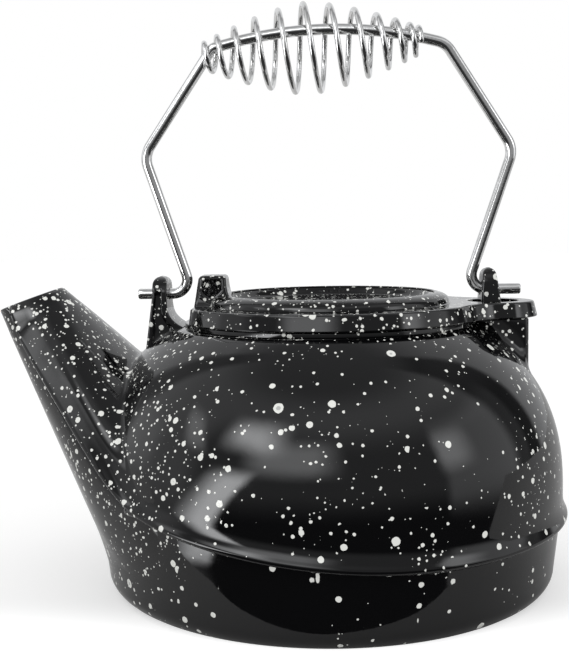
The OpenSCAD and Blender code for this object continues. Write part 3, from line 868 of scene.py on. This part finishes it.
# ---------------------------------------------------------------------- lid ----
@dataclass(frozen=True)
class Lid(Part):
    """The swivelling lid with its ring, dish and thumb lug."""

    name: ClassVar[str] = "lid_casting"
    body_name: ClassVar[str] = "lid"
    nodes: ClassVar[tuple[str, ...]] = ("lid",)
    slot: ClassVar[Slot] = Slot.ENAMEL

    x: float = 2.4
    z: float = 108.8
    r: float = 62.5
    t: float = 6.4
    draft: float = 1.2
    bead: float = 0.9
    front: float = 53.6
    crest_r: float = 44.5
    crest_h: float = 4.4
    ring_r: float = 50.5
    dish_d: float = 3.6
    tail_r: float = 18.0
    hollow: float = 22.0
    pivot_x: float = 71.0
    bore_r: float = 10.6
    lug_h: float = 12.4
    lug_w: float = 9.0
    lug_len: float = 14.2
    lug_round: float = 1.6
    sharp: float = 34.0

    def outline(self, inset: float) -> Arr:
        """Outline of disc and tail, with hollow curves between and a flat front.

        Args:
            inset: How far the outline is drawn in.

        Returns:
            Closed list of points about the lid's centre.
        """
        arm = self.pivot_x - self.x
        r1, r2 = self.r + self.hollow, self.tail_r + self.hollow
        wx = (r1 * r1 - r2 * r2 + arm * arm) / (2 * arm)
        wy = math.sqrt(r1 * r1 - wx * wx)
        disc, tail = math.atan2(wy, wx), math.atan2(wy, wx - arm)

        def arc(cx: float, cy: float, r: float, a: float, b: float, n: int) -> Arr:
            """Points of an arc without its last one."""
            t = np.linspace(a, b, n, endpoint=False)
            return np.stack([cx + r * np.cos(t), cy + r * np.sin(t)], -1)

        pts = np.concatenate([
            arc(0, 0, self.r - inset, disc, 2 * np.pi - disc, 320),
            arc(wx, -wy, self.hollow + inset, np.pi - disc, np.pi - tail, 24),
            arc(arm, 0, self.tail_r - inset, -tail, tail, 90),
            arc(wx, wy, self.hollow + inset, np.pi + tail, np.pi + disc, 24)])
        pts[:, 0] = np.maximum(pts[:, 0], -self.front - self.x + 0.35 * inset)
        return pts

    def plate(self) -> Arr:
        """The plate with a slanted, slightly crowned edge and a round bead along its top.

        Returns:
            A grid with poles at both ends.
        """
        edge, bead = self.t - self.bead, self.bead
        steps = [(3.0, 0.0), (0.5, 0.0), (0.12, 0.15), (0.0, 0.5)]
        steps += [(self.draft * s, lerp(0.5, edge, s)) for s in np.linspace(0, 1, 6)[1:]]
        steps += [(self.draft + bead * (1 - math.cos(a)), edge + bead * math.sin(a))
                  for a in np.radians([20, 40, 60, 80])]
        steps += [(self.draft + 1.6, self.t), (self.draft + 4, self.t - 0.05)]
        rows = []
        for inset, z in steps:
            p = self.outline(inset)
            rows.append(level(p[:, 0] + self.x, p[:, 1], self.z + z))
        return closed(rows)

    def ring(self) -> Arr:
        """The raised ring: hollow outer wall, rounded crest and a dished middle.

        Returns:
            A grid with poles at both ends.
        """
        top = self.t + self.crest_h
        floor = top - self.dish_d
        profile = [(self.ring_r + 0.6, self.t - 1.5), (self.ring_r + 0.5, self.t - 0.05),
                   (self.ring_r - 0.2, self.t + 0.25)]
        for a in np.radians(np.linspace(15, 80, 8)):
            profile.append((self.crest_r + 0.8 + (self.ring_r - self.crest_r - 1.0) * math.cos(a) ** 1.25,
                            self.t + (self.crest_h - 0.25) * math.sin(a) ** 0.85))
        for a in np.radians(np.linspace(80, -60, 8)):
            profile.append((self.crest_r + 0.4 - math.cos(a), top - 0.35 + 0.35 * math.sin(a)))
        for s in np.linspace(0, 1, 9)[1:]:
            drop = (self.dish_d - 0.6) * float(smooth(0, 1, s))
            profile.append((self.crest_r - 1.6 - 3.4 * s, top - 0.6 - drop))
        profile += [(30.0, floor), (12.0, floor), (0.4, floor)]
        cos, sin = circle(240)
        return closed([level(self.x + r * cos, r * sin, self.z + z) for r, z in profile])

    def lug(self) -> Arr:
        """The thumb lug with rough scooped sides and a hollow foot.

        Returns:
            A grid with poles at both ends.
        """
        foot, bend = self.z + self.t, self.lug_round
        top = foot + self.lug_h
        z = np.concatenate([np.linspace(self.z + 2, foot - 0.2, 4), np.linspace(foot, top - bend, 64),
                            top - bend + bend * np.sin(np.radians(np.linspace(10, 88, 9)))])
        h = np.clip((z - foot) / self.lug_h, 0, 1)
        cap = np.clip((z - top + bend) / bend, 0, 1)
        inset = 1.5 * (1 - np.sqrt(np.clip(1 - cap * cap, 0, 1)))
        flare = 5.0 * (1 - h) ** 5
        left = -self.front + 1.9 * h + inset + 0.1
        right = -self.front + self.lug_len - 1.0 * h - inset + flare
        width = self.lug_w - 1.6 * h ** 3 - inset + 0.3 * flare
        return rounded_box((left, right), (-width, width), z, np.full(len(z), 1.3), 56, self.scoop)

    def scoop(self, height: Arr, share: Arr) -> Arr:
        """Depth of the rough shield on the lug's sides, and of two ridges that follow its foot.

        The shield's lower edge is a V. Sums of sines stand for the rough casting in it.

        Args:
            height: Height in the frame.
            share: Share of the way across the face.

        Returns:
            Depth in millimetres.
        """
        h = height - self.z - self.t
        low = 2.9 + 9.2 * np.abs(share - 0.46) ** 1.25
        inside = smooth(0.0, 1.1, h - low) * (1 - smooth(10.0, 11.2, h))
        inside = inside * smooth(0.05, 0.16, share) * (1 - smooth(0.84, 0.95, share))
        u, v = 14.0 * share, h          # roughly millimetres across and up
        coarse = np.sin(1.9 * u + 1.1 * np.sin(1.3 * v)) * np.sin(1.7 * v + 0.9 * np.sin(1.1 * u))
        fine = np.sin(3.7 * u + 1.3) * np.sin(3.1 * v + 2.0 * np.sin(0.9 * u))
        ridges = np.exp(-((h - low + 0.9) / 0.35) ** 2) + 0.8 * np.exp(-((h - low + 2.1) / 0.35) ** 2)
        ridges = ridges * smooth(0.0, 0.08, share) * (1 - smooth(0.92, 1, share))
        return inside * (1.15 + 0.55 * (coarse + 0.6 * fine)) - 0.38 * ridges

    def build(self) -> bpy.types.Object:
        """Makes the lid and cuts its pivot bore.

        Returns:
            The finished piece.
        """
        plate = Shell(self.name, self.sharp).grid(self.plate()).build()
        drill(plate, self.bore_r, (self.pivot_x, 0, self.z - 3), (self.pivot_x, 0, self.z + 12))
        rest = Shell("lid_ring", self.sharp).grid(self.ring()).grid(self.lug()).build()
        return merged(plate, rest)


# ------------------------------------------------------------- bail and coil ----
@dataclass(frozen=True)
class Bail(Part):
    """The bent round rod. Its corners are X and the height above the pins."""

    name: ClassVar[str] = "bail_rod"
    body_name: ClassVar[str] = "bail"
    nodes: ClassVar[tuple[str, ...]] = ("bail",)
    slot: ClassVar[Slot] = Slot.STEEL

    d: float = 4.5
    corners: tuple = ((-78.0, 0.0), (-54.9, 0.0), (-74.0, 57.8), (-44.6, 101.1), (3.5, 113.7), (51.6, 101.1),
                      (79.2, 57.8), (59.6, 0.0), (82.2, 0.0))
    bends: tuple = (0.0, 6.0, 10.0, 5.0, 174.4, 9.0, 10.0, 6.0, 0.0)
    end_steps: tuple = (0.0, 0.12, 0.35, 0.6)
    end_insets: tuple = (0.5, 0.28, 0.1, 0.0)

    def path(self) -> Arr:
        """Middle line: straight stretches, and an arc round each corner.

        Returns:
            Points at most 3 mm apart.
        """
        c = np.array(self.corners) + [0, PIN_Z]
        parts = [c[:1]]
        for k in range(1, len(c) - 1):
            a, b = unit(c[k] - c[k - 1]), unit(c[k + 1] - c[k])
            turn = math.acos(float(np.clip(a @ b, -1, 1)))
            side = math.copysign(1, a[0] * b[1] - a[1] * b[0])
            start = c[k] - a * self.bends[k] * math.tan(turn / 2)
            mid = start + side * self.bends[k] * np.array([-a[1], a[0]])
            n = 40 if self.bends[k] > 50 else 16
            d = math.atan2(a[1], a[0]) + side * turn * np.linspace(0, 1, n)
            parts.append(mid + side * self.bends[k] * np.stack([np.sin(d), -np.cos(d)], -1))
        line = np.concatenate([*parts, c[-1:]])
        far = np.concatenate([[0], np.cumsum(np.linalg.norm(np.diff(line, axis=0), axis=1))])
        at = np.unique(np.concatenate([far, np.arange(0, far[-1], 3.0)]))
        at = at[np.concatenate([[True], np.diff(at) > 0.05])]
        x, z = (np.interp(at, far, line[:, i]) for i in (0, 1))
        return level(x, 0 * x, z)

    def build(self) -> bpy.types.Object:
        """Makes the rod with chamfered ends.

        Returns:
            The finished piece.
        """
        path = self.path()
        ends = np.outer(self.end_steps, [1, 0, 0])
        path = np.concatenate([path[0] + ends, path[1:-1], path[-1] - ends[::-1]])
        radius = np.full(len(path), self.d / 2)
        radius[:len(ends)] -= self.end_insets
        radius[-len(ends):] -= self.end_insets[::-1]
        return Shell(self.name, 60).grid(sweep(path, radius, 28, (0, 1, 0))).build()


@dataclass(frozen=True)
class CoilGrip(Part):
    """The barrel-shaped coil of round wire on an axis from a to b.

    Its turns lie closer towards both ends, and closer still towards b. The barrel swells
    from each end to its widest place with a power of the distance.
    """

    name: ClassVar[str] = "coil_wire"
    body_name: ClassVar[str] = "bail"
    nodes: ClassVar[tuple[str, ...]] = ("coil_grip",)
    slot: ClassVar[Slot] = Slot.STEEL

    wire: float = 2.3
    turns: float = 11.6
    pitch: float = 10.6
    pitch_fall: float = 0.243
    pitch_power: float = 1.8
    drift: float = 0.089
    max_r: float = 19.0
    end_r: float = 6.3
    barrel_x: float = -4.2
    barrel_power: float = 1.45
    last: float = 5.5
    middle: float = 0.526
    a: tuple = (-46.0, 218.1)
    b: tuple = (40.0, 222.4)

    def along(self, s: Arr) -> Arr:
        """Distance along the axis after s turns from the middle."""
        closer = 1 - self.pitch_fall * (np.abs(s) / self.last) ** self.pitch_power
        return self.pitch * s * closer - self.drift * s * s

    def radius(self, s: Arr) -> Arr:
        """Draws the barrel.

        Args:
            s: Turns from the middle.

        Returns:
            Radius of the wire's middle line.
        """
        x = self.along(s)
        end = np.where(x < self.barrel_x, self.along(np.float64(-self.last)),
                       self.along(np.float64(self.last)))
        u = np.clip((x - self.barrel_x) / (end - self.barrel_x), 0, 1)
        return self.end_r - self.wire / 2 + (self.max_r - self.end_r) * (1 - u ** self.barrel_power)

    def build(self) -> bpy.types.Object:
        """Makes the coil, with the cut ends of the wire slightly rounded.

        Returns:
            The finished piece.
        """
        a, b = np.array(self.a), np.array(self.b)
        way = unit(b - a)
        up = np.array([-way[1], way[0]])
        s = np.linspace(-self.turns / 2, self.turns / 2, int(self.turns * 56))
        turn, r = 2 * np.pi * s + np.pi, self.radius(s)
        p = lerp(a, b, self.middle) + way * self.along(s)[:, None] + up * (r * np.cos(turn))[:, None]
        path = level(p[:, 0], -r * np.sin(turn), p[:, 1])
        size = np.full(len(s), self.wire / 2)
        size[[0, -1]] *= 0.72
        size[[1, -2]] *= 0.95
        return Shell(self.name, 60).grid(sweep(path, size, 14, (way[0], 0, way[1]))).build()


# ---------------------------------------------------------------- materials ----
class Sock:
    """A shader socket that arithmetic operators can be used on."""

    def __init__(self, tree: "Tree", socket: Any) -> None:
        """Wraps a socket of a tree."""
        self.tree, self.socket = tree, socket

    def _math(self, kind: str, *values: Any) -> "Sock":
        """Adds a Math node."""
        return self.tree.node("ShaderNodeMath", {"operation": kind}, dict(enumerate(values)))

    def __add__(self, other: Any) -> "Sock":
        """Returns self + other."""
        return self._math("ADD", self, other)

    __radd__ = __add__

    def __sub__(self, other: Any) -> "Sock":
        """Returns self - other."""
        return self._math("SUBTRACT", self, other)

    def __rsub__(self, other: Any) -> "Sock":
        """Returns other - self."""
        return self._math("SUBTRACT", other, self)

    def __mul__(self, other: Any) -> "Sock":
        """Returns self * other."""
        return self._math("MULTIPLY", self, other)

    __rmul__ = __mul__

    def __lt__(self, other: Any) -> "Sock":
        """Returns 1 where self is less than other."""
        return self._math("LESS_THAN", self, other)

    def __gt__(self, other: Any) -> "Sock":
        """Returns 1 where self is more than other, for other < self."""
        return self._math("GREATER_THAN", self, other)

    def max(self, other: Any) -> "Sock":
        """Returns the larger value."""
        return self._math("MAXIMUM", self, other)

    def min(self, other: Any) -> "Sock":
        """Returns the smaller value."""
        return self._math("MINIMUM", self, other)

    def ramp(self, low: float, high: float, start: float = 0.0, end: float = 1.0) -> "Sock":
        """Maps low..high to start..end with a smooth S-curve, clamped."""
        values = {"Value": self, "From Min": low, "From Max": high, "To Min": start, "To Max": end}
        return self.tree.node("ShaderNodeMapRange", {"interpolation_type": "SMOOTHSTEP"}, values)


class Tree:
    """A node tree, whose nodes all come from one method, node."""

    def __init__(self, owner: bpy.types.Material | bpy.types.World) -> None:
        """Empties a node tree.

        Args:
            owner: The material or world that the tree belongs to.
        """
        owner.use_nodes = True
        self.tree = owner.node_tree
        self.tree.nodes.clear()

    def node(self, kind: str, settings: dict | None = None, inputs: dict | None = None, out: Any = 0) -> Sock:
        """Adds a node.

        Args:
            kind: The node's type.
            settings: Values set on the node first.
            inputs: Socket names or numbers to values or Socks.
            out: Name or number of the output that is returned.

        Returns:
            The wrapped output socket, or the node itself where it has none.
        """
        made = self.tree.nodes.new(kind)
        for name, value in (settings or {}).items():
            setattr(made, name, value)
        for name, value in (inputs or {}).items():
            if isinstance(value, Sock):
                self.tree.links.new(value.socket, made.inputs[name])
            else:
                made.inputs[name].default_value = value
        return Sock(self, made.outputs[out] if made.outputs else made)

    def outputs(self, first: Sock, *names: Any) -> list[Sock]:
        """Returns the named or numbered outputs of the node that a Sock belongs to."""
        return [Sock(self, first.socket.node.outputs[name]) for name in names]

    def mix(self, share: Any, a: Any, b: Any) -> Sock:
        """Mixes two colours."""
        return self.node("ShaderNodeMix", {"data_type": "RGBA"}, {0: share, 6: a, 7: b}, 2)

    def vector(self, kind: str, a: Any, b: Any = (0, 0, 0)) -> Sock:
        """Adds a Vector Math node."""
        return self.node("ShaderNodeVectorMath", {"operation": kind}, {0: a, 1: b})

    def noise(self, place: Sock, scale: float, detail: float, out: str = "Fac") -> Sock:
        """Adds a Noise Texture."""
        return self.node("ShaderNodeTexNoise", {}, {"Vector": place, "Scale": scale, "Detail": detail}, out)

    def coordinates(self, kind: str = "Object") -> Sock:
        """Returns one kind of texture coordinates."""
        return self.node("ShaderNodeTexCoord", {}, {}, kind)

    def split(self, vector: Sock) -> list[Sock]:
        """Returns a vector's X, Y and Z."""
        return self.outputs(self.node("ShaderNodeSeparateXYZ", {}, {0: vector}), 0, 1, 2)

    def rays(self) -> tuple[Sock, Sock]:
        """Tells the rays apart.

        Returns:
            1 for what the viewer sees, and 1 for what gloss and glass show.
        """
        path = self.node("ShaderNodeLightPath")
        camera, glossy, clear = self.outputs(path, "Is Camera Ray", "Is Glossy Ray", "Is Transmission Ray")
        return camera, glossy.max(clear)

    def bump(self, strength: float, distance: float, height: Sock) -> Sock:
        """Adds a Bump node."""
        inputs = {"Strength": strength, "Distance": distance, "Height": height}
        return self.node("ShaderNodeBump", {}, inputs, "Normal")

    def principled(self, **inputs: Any) -> Sock:
        """Adds the surface shader. An underscore in a socket's name stands for a space."""
        named = {name.replace("_", " "): value for name, value in inputs.items()}
        return self.node("ShaderNodeBsdfPrincipled", {}, named, "BSDF")

    def surface(self, shader: Sock, kind: str = "ShaderNodeOutputMaterial") -> None:
        """Adds the output node."""
        self.node(kind, {}, {"Surface": shader})


@dataclass(frozen=True)
class Specks:
    """One size class of specks, in metres.

    The specks are balls in the cells of a grid. Of the cells, share holds one, or less by
    crowd where they aren't crowded. The drift parts the classes' patterns. A stretch above 1
    makes upright drips.
    """

    cell: float
    small: float
    large: float
    share: float
    crowd: float = 0.0
    drift: float = 0.0
    stretch: float = 1.0


@dataclass(frozen=True)
class SpeckledEnamel:
    """Glossy black enamel with white specks in several sizes, some of them run into drips."""

    name: str = "speckled_enamel"
    black: tuple = (0.0026, 0.0026, 0.0030, 1)
    white: tuple = (0.86, 0.87, 0.83, 1)
    grey: tuple = (0.50, 0.51, 0.50, 1)
    wobble: float = 0.0005
    edge: float = 0.00007
    classes: tuple[Specks, ...] = (
        Specks(0.0018, 0.00012, 0.00036, 0.62, 0.80, 0.0),
        Specks(0.0030, 0.00035, 0.00078, 0.78, 0.84, 0.31),
        Specks(0.0025, 0.00030, 0.00070, 0.66, 1.00, 0.53),
        Specks(0.0056, 0.00070, 0.00135, 0.95, 0.66, 0.67),
        Specks(0.0100, 0.00120, 0.00205, 0.60, 0.25, 0.89),
        Specks(0.0050, 0.00035, 0.00085, 0.85, 1.00, 0.45, 3.0),
    )

    def layer(self, tree: Tree, place: Sock, crowd: Sock, specks: Specks) -> tuple[Sock, Sock]:
        """Balls of random size round random points, which the surface cuts into round specks.

        Args:
            tree: The material's tree.
            place: Position in metres.
            crowd: How crowded the specks are here, 0 to 1.
            specks: Their size class.

        Returns:
            1 inside a speck, and how deep inside it the point lies, in millimetres.
        """
        moved = tree.vector("ADD", place, (specks.drift, specks.drift * 0.7, specks.drift * 1.3))
        moved = tree.vector("MULTIPLY", moved, (1.0, 1.0, 1 / specks.stretch))
        grid = {"Vector": moved, "Scale": 1 / specks.cell}
        cells = tree.node("ShaderNodeTexVoronoi", {"feature": "F1"}, grid, "Distance")
        tint, = tree.outputs(cells, "Color")
        pick, dice = tree.outputs(tree.node("ShaderNodeSeparateColor", {}, {0: tint}), 0, 1)
        size = (dice * dice) * ((specks.large - specks.small) / specks.cell) + specks.small / specks.cell
        used = pick < (crowd * specks.crowd + (1 - specks.crowd)) * specks.share
        deep = size - cells
        edge = self.edge / specks.cell
        return deep.ramp(-edge, edge) * used, deep * used * specks.cell * 1000

    def crowding(self, tree: Tree, here: Sock) -> tuple[Sock, Sock]:
        """Where specks and drips are: most on the spout and the lid, and in clouds elsewhere.

        Args:
            tree: The material's tree.
            here: Position in metres.

        Returns:
            How crowded the specks are, and how crowded the drips are, 0 to 1.
        """
        x, _, z = tree.split(here)
        spout, lid = x.ramp(-0.02, -0.075, 0.0, 0.75), z.ramp(0.1, 0.112, 0.0, 0.9)
        clouds = tree.noise(here, 22.0, 1.0).ramp(0.42, 0.66) * 0.55
        skirt = z.ramp(0.026, 0.04, 0.45, 0.0) * x.ramp(-0.095, -0.07)
        low, neck = z.ramp(0.028, 0.042, 0.22, 0.0), x.ramp(-0.07, -0.09) * z.ramp(0.06, 0.09, 1.0, 0.0)
        return (spout + lid + clouds).min(1.0) - skirt, low.max(neck)

    def build(self) -> bpy.types.Material:
        """Makes the material.

        Returns:
            The new material.
        """
        material = bpy.data.materials.new(self.name)
        tree = Tree(material)
        here = tree.coordinates()
        wobble = tree.vector("SUBTRACT", tree.noise(here, 700.0, 1.0, "Color"), (0.5, 0.5, 0.5))
        place = tree.vector("ADD", here, tree.vector("MULTIPLY", wobble, (self.wobble,) * 3))
        crowd, low = self.crowding(tree, here)
        layers = [self.layer(tree, place, low if c.stretch > 1 else crowd, c) for c in self.classes]
        mask, deep = layers[0]
        for inside, depth in layers[1:]:
            mask, deep = mask.max(inside), deep.max(depth)
        waves, peel = tree.noise(here, 30.0, 1.0), tree.noise(here, 240.0, 2.0)
        white = tree.mix(deep.ramp(0.85, 1.3), self.white, self.grey)
        rough = peel.ramp(0.3, 0.75, 0.035, 0.075) + mask * 0.1
        height = waves * 1.1 + peel * 0.03 + deep.max(0.0).min(0.25) * 0.22
        tree.surface(tree.principled(Base_Color=tree.mix(mask, self.black, white), Roughness=rough, IOR=1.52,
                                     Normal=tree.bump(0.4, 0.001, height)))
        return material


@dataclass(frozen=True)
class BrightSteel:
    """Plated steel wire, with faint streaks from drawing and handling."""

    name: str = "bright_steel"
    bright: tuple = (0.86, 0.86, 0.86, 1)
    dull: tuple = (0.74, 0.74, 0.73, 1)

    def build(self) -> bpy.types.Material:
        """Makes the material.

        Returns:
            The new material.
        """
        material = bpy.data.materials.new(self.name)
        tree = Tree(material)
        here = tree.coordinates()
        smear, grit = tree.noise(here, 120.0, 4.0), tree.noise(here, 900.0, 3.0)
        colour = tree.mix(smear.ramp(0.35, 0.7), self.bright, self.dull)
        rough = smear.ramp(0.3, 0.7, 0.03, 0.08)
        tree.surface(tree.principled(Base_Color=colour, Metallic=1.0, Roughness=rough,
                                     Normal=tree.bump(0.12, 0.0003, grit)))
        return material


# ------------------------------------------------------------------- studio ----
@dataclass(frozen=True)
class Card:
    """A soft-edged light patch of the surroundings, in degrees.

    Azimuth is 0 towards the viewer and grows to the right. The patch's middle azimuth shifts
    by lean degrees for each degree of elevation. Its left and right edges and its two level
    edges have their own softness.
    """

    az: tuple[float, float]
    el: tuple[float, float]
    power: float
    soft: tuple[float, float, float] = (8.0, 8.0, 6.0)
    lean: float = 0.0

    def share(self, az: Sock, el: Sock) -> Sock:
        """Returns how much of the patch a direction sees.

        Args:
            az: Azimuth in degrees.
            el: Elevation in degrees.

        Returns:
            A value from 0 outside to 1 inside.
        """
        (a0, a1), (e0, e1), (left, right, se) = self.az, self.el, self.soft
        az = az - el * self.lean
        across = az.ramp(a0 - left, a0 + left) * az.ramp(a1 - right, a1 + right, 1.0, 0.0)
        return across * el.ramp(e0 - se, e0 + se) * el.ramp(e1 - se, e1 + se, 1.0, 0.0)


BACKDROP = (                                               # pale wall behind the pot
    Card((124, 200), (-30, 60), 0.8, (3, 1, 8)),
    Card((-200, -130), (-2, 60), 0.8, (1, 3, 5)),
)
GAPS = (                                                   # dark gaps between walls and backdrop
    Card((101, 124), (-90, 66), 0.75, (4, 3, 8)),
    Card((-130, -115), (-90, 66), 0.6, (4, 4, 8)),
)
CARDS = (
    Card((-60, -44), (-20, 13), 7.0, (9, 3, 5), 0.75),     # tall narrow light on the left
    Card((-51, -26), (29, 44), 5.4, (9, 10, 7)),           # window
    Card((-36, 2), (16, 34), 2.0, (8, 10, 6)),             # its lower part
    Card((56, 72), (12, 30), 1.8, (3, 8, 6)),              # bright edge of the wall on the right
    Card((58, 112), (-8, 36), 0.6, (3, 3, 6)),             # pale wall on the right
    Card((-132, -66), (-60, 40), 0.4, (12, 8, 10)),        # pale wall on the left
    Card((-120, -92), (4, 26), 0.4, (6, 5, 8)),            # soft light on the left
    Card((-58, -46), (22, 38), 1.4, (4, 4, 5), -0.75),     # high soft light on the left
)


@dataclass(frozen=True)
class Studio:
    """Floor, soft light and camera.

    The camera's focal length is in pixels of a frame of the given height. Its turns are in
    radians, and its place and the floor's sizes are in metres.
    """

    focal: float = 1078.36
    frame_h: float = 652.0
    yaw: float = -0.036510
    pitch: float = 0.096406
    roll: float = -0.017524
    place: tuple = (BODY_X * MM, -0.45316, 0.14939)
    floor_far: float = 4.0
    floor_front: float = -0.105
    shadow_fade: float = 0.07

    def camera(self) -> None:
        """Sets up the camera in front of the pot and a little above it."""
        aside, along = math.sin(self.yaw), math.cos(self.yaw)
        ahead = np.array([aside * math.cos(self.pitch), along * math.cos(self.pitch), -math.sin(self.pitch)])
        level_x = np.array([along, -aside, 0.0])
        level_up = np.cross(level_x, ahead)
        right = level_x * math.cos(self.roll) + level_up * math.sin(self.roll)
        up = level_up * math.cos(self.roll) - level_x * math.sin(self.roll)
        data = bpy.data.cameras.new("view")
        data.sensor_width = 36.0
        data.lens = data.sensor_width * self.focal / self.frame_h
        data.clip_start = 0.01
        camera = bpy.data.objects.new("view", data)
        turn = Matrix([[right[i], up[i], -ahead[i]] for i in range(3)]).to_4x4()
        camera.matrix_world = Matrix.Translation(self.place) @ turn
        bpy.context.scene.collection.objects.link(camera)
        bpy.context.scene.camera = camera

    def world(self) -> None:
        """Plain soft light, and a grey room with soft windows that only reflections show.

        The viewer sees plain white behind the pot, and reflections a pale backdrop there.
        """
        world = bpy.data.worlds.new("studio")
        bpy.context.scene.world = world
        tree = Tree(world)
        x, y, z = tree.split(tree.coordinates("Generated"))
        az = tree.node("ShaderNodeMath", {"operation": "ARCTAN2"}, {0: x, 1: 0 - y}) * (180 / math.pi)
        el = tree.node("ShaderNodeMath", {"operation": "ARCSINE"}, {0: z}) * (180 / math.pi)
        room = el.ramp(-12, 5, 0.03, 0.30) + el.ramp(25, 50, 0.0, 0.42) - el.ramp(52, 74, 0.0, 0.36)
        for card in CARDS:
            room = room + card.share(az, el) * card.power
        for card in GAPS:
            room = room * (1 - card.share(az, el) * card.power)
        for card in BACKDROP:
            room = room.max(card.share(az, el) * card.power)
        camera, mirrored = tree.rays()

        def light(colour: tuple, strength: Any) -> Sock:
            """Adds a background of one colour."""
            return tree.node("ShaderNodeBackground", {}, {"Color": (*colour, 1), "Strength": strength})

        def either(share: Sock, a: Sock, b: Sock) -> Sock:
            """Mixes two shaders."""
            return tree.node("ShaderNodeMixShader", {}, {0: share, 1: a, 2: b})

        lit = either(mirrored, light((1, 1, 1), el.ramp(-30, 60, 0.75, 1.1)), light((0.975, 0.985, 1), room))
        tree.surface(either(camera, lit, light((1, 1, 1), 1.0)), "ShaderNodeOutputWorld")

    def floor(self) -> None:
        """A pale table top whose front edge lies just before the pot.

        It glows for the viewer, so that it looks white and yet keeps the pot's shadow. Near the front edge
        the glow is stronger, a painted light that fades the shadow out.
        In reflections it glows faintly on the spout's side, a painted reflection light.
        """
        mesh = bpy.data.meshes.new("floor")
        far, front = self.floor_far, self.floor_front
        corners = [(-far, front, 0), (far, front, 0), (far, far, 0), (-far, far, 0)]
        mesh.from_pydata(corners, [], [(0, 1, 2, 3)])
        floor = bpy.data.objects.new("floor", mesh)
        bpy.context.scene.collection.objects.link(floor)
        material = bpy.data.materials.new("floor")
        tree = Tree(material)
        camera, mirrored = tree.rays()
        x, y, _ = tree.split(tree.coordinates())
        # painted light: for the viewer the glow grows to full at the front edge and fades the pot's shadow
        # out there; reflections see a painted glow on the spout's side
        painted_reflection_glow, painted_front_glow = x.ramp(-0.1, 0.12, 0.12, 0.0), y.ramp(front, front + self.shadow_fade, 1.0, 0.5)
        glow = mirrored * painted_reflection_glow + camera * painted_front_glow
        tree.surface(tree.principled(Base_Color=(0.5, 0.5, 0.5, 1), Roughness=0.8, Emission_Strength=1.0,
                                     Emission_Color=tree.mix(glow, (0, 0, 0, 1), (1, 1, 1, 1))))
        mesh.materials.append(material)

    def build(self) -> None:
        """Makes the whole studio."""
        self.camera()
        self.world()
        self.floor()
        bpy.context.scene.view_settings.view_transform = "Standard"


def main() -> None:
    """Builds the studio and every piece in order."""
    logging.basicConfig(level=logging.INFO, format="%(name)s: %(message)s")
    Studio().build()
    enamel, steel = SpeckledEnamel().build(), BrightSteel().build()
    for part, finish in ((Pot(), enamel), (Lid(), enamel), (Bail(), steel), (CoilGrip(), steel)):
        part.dress(finish)


if __name__ == "__main__":
    main()
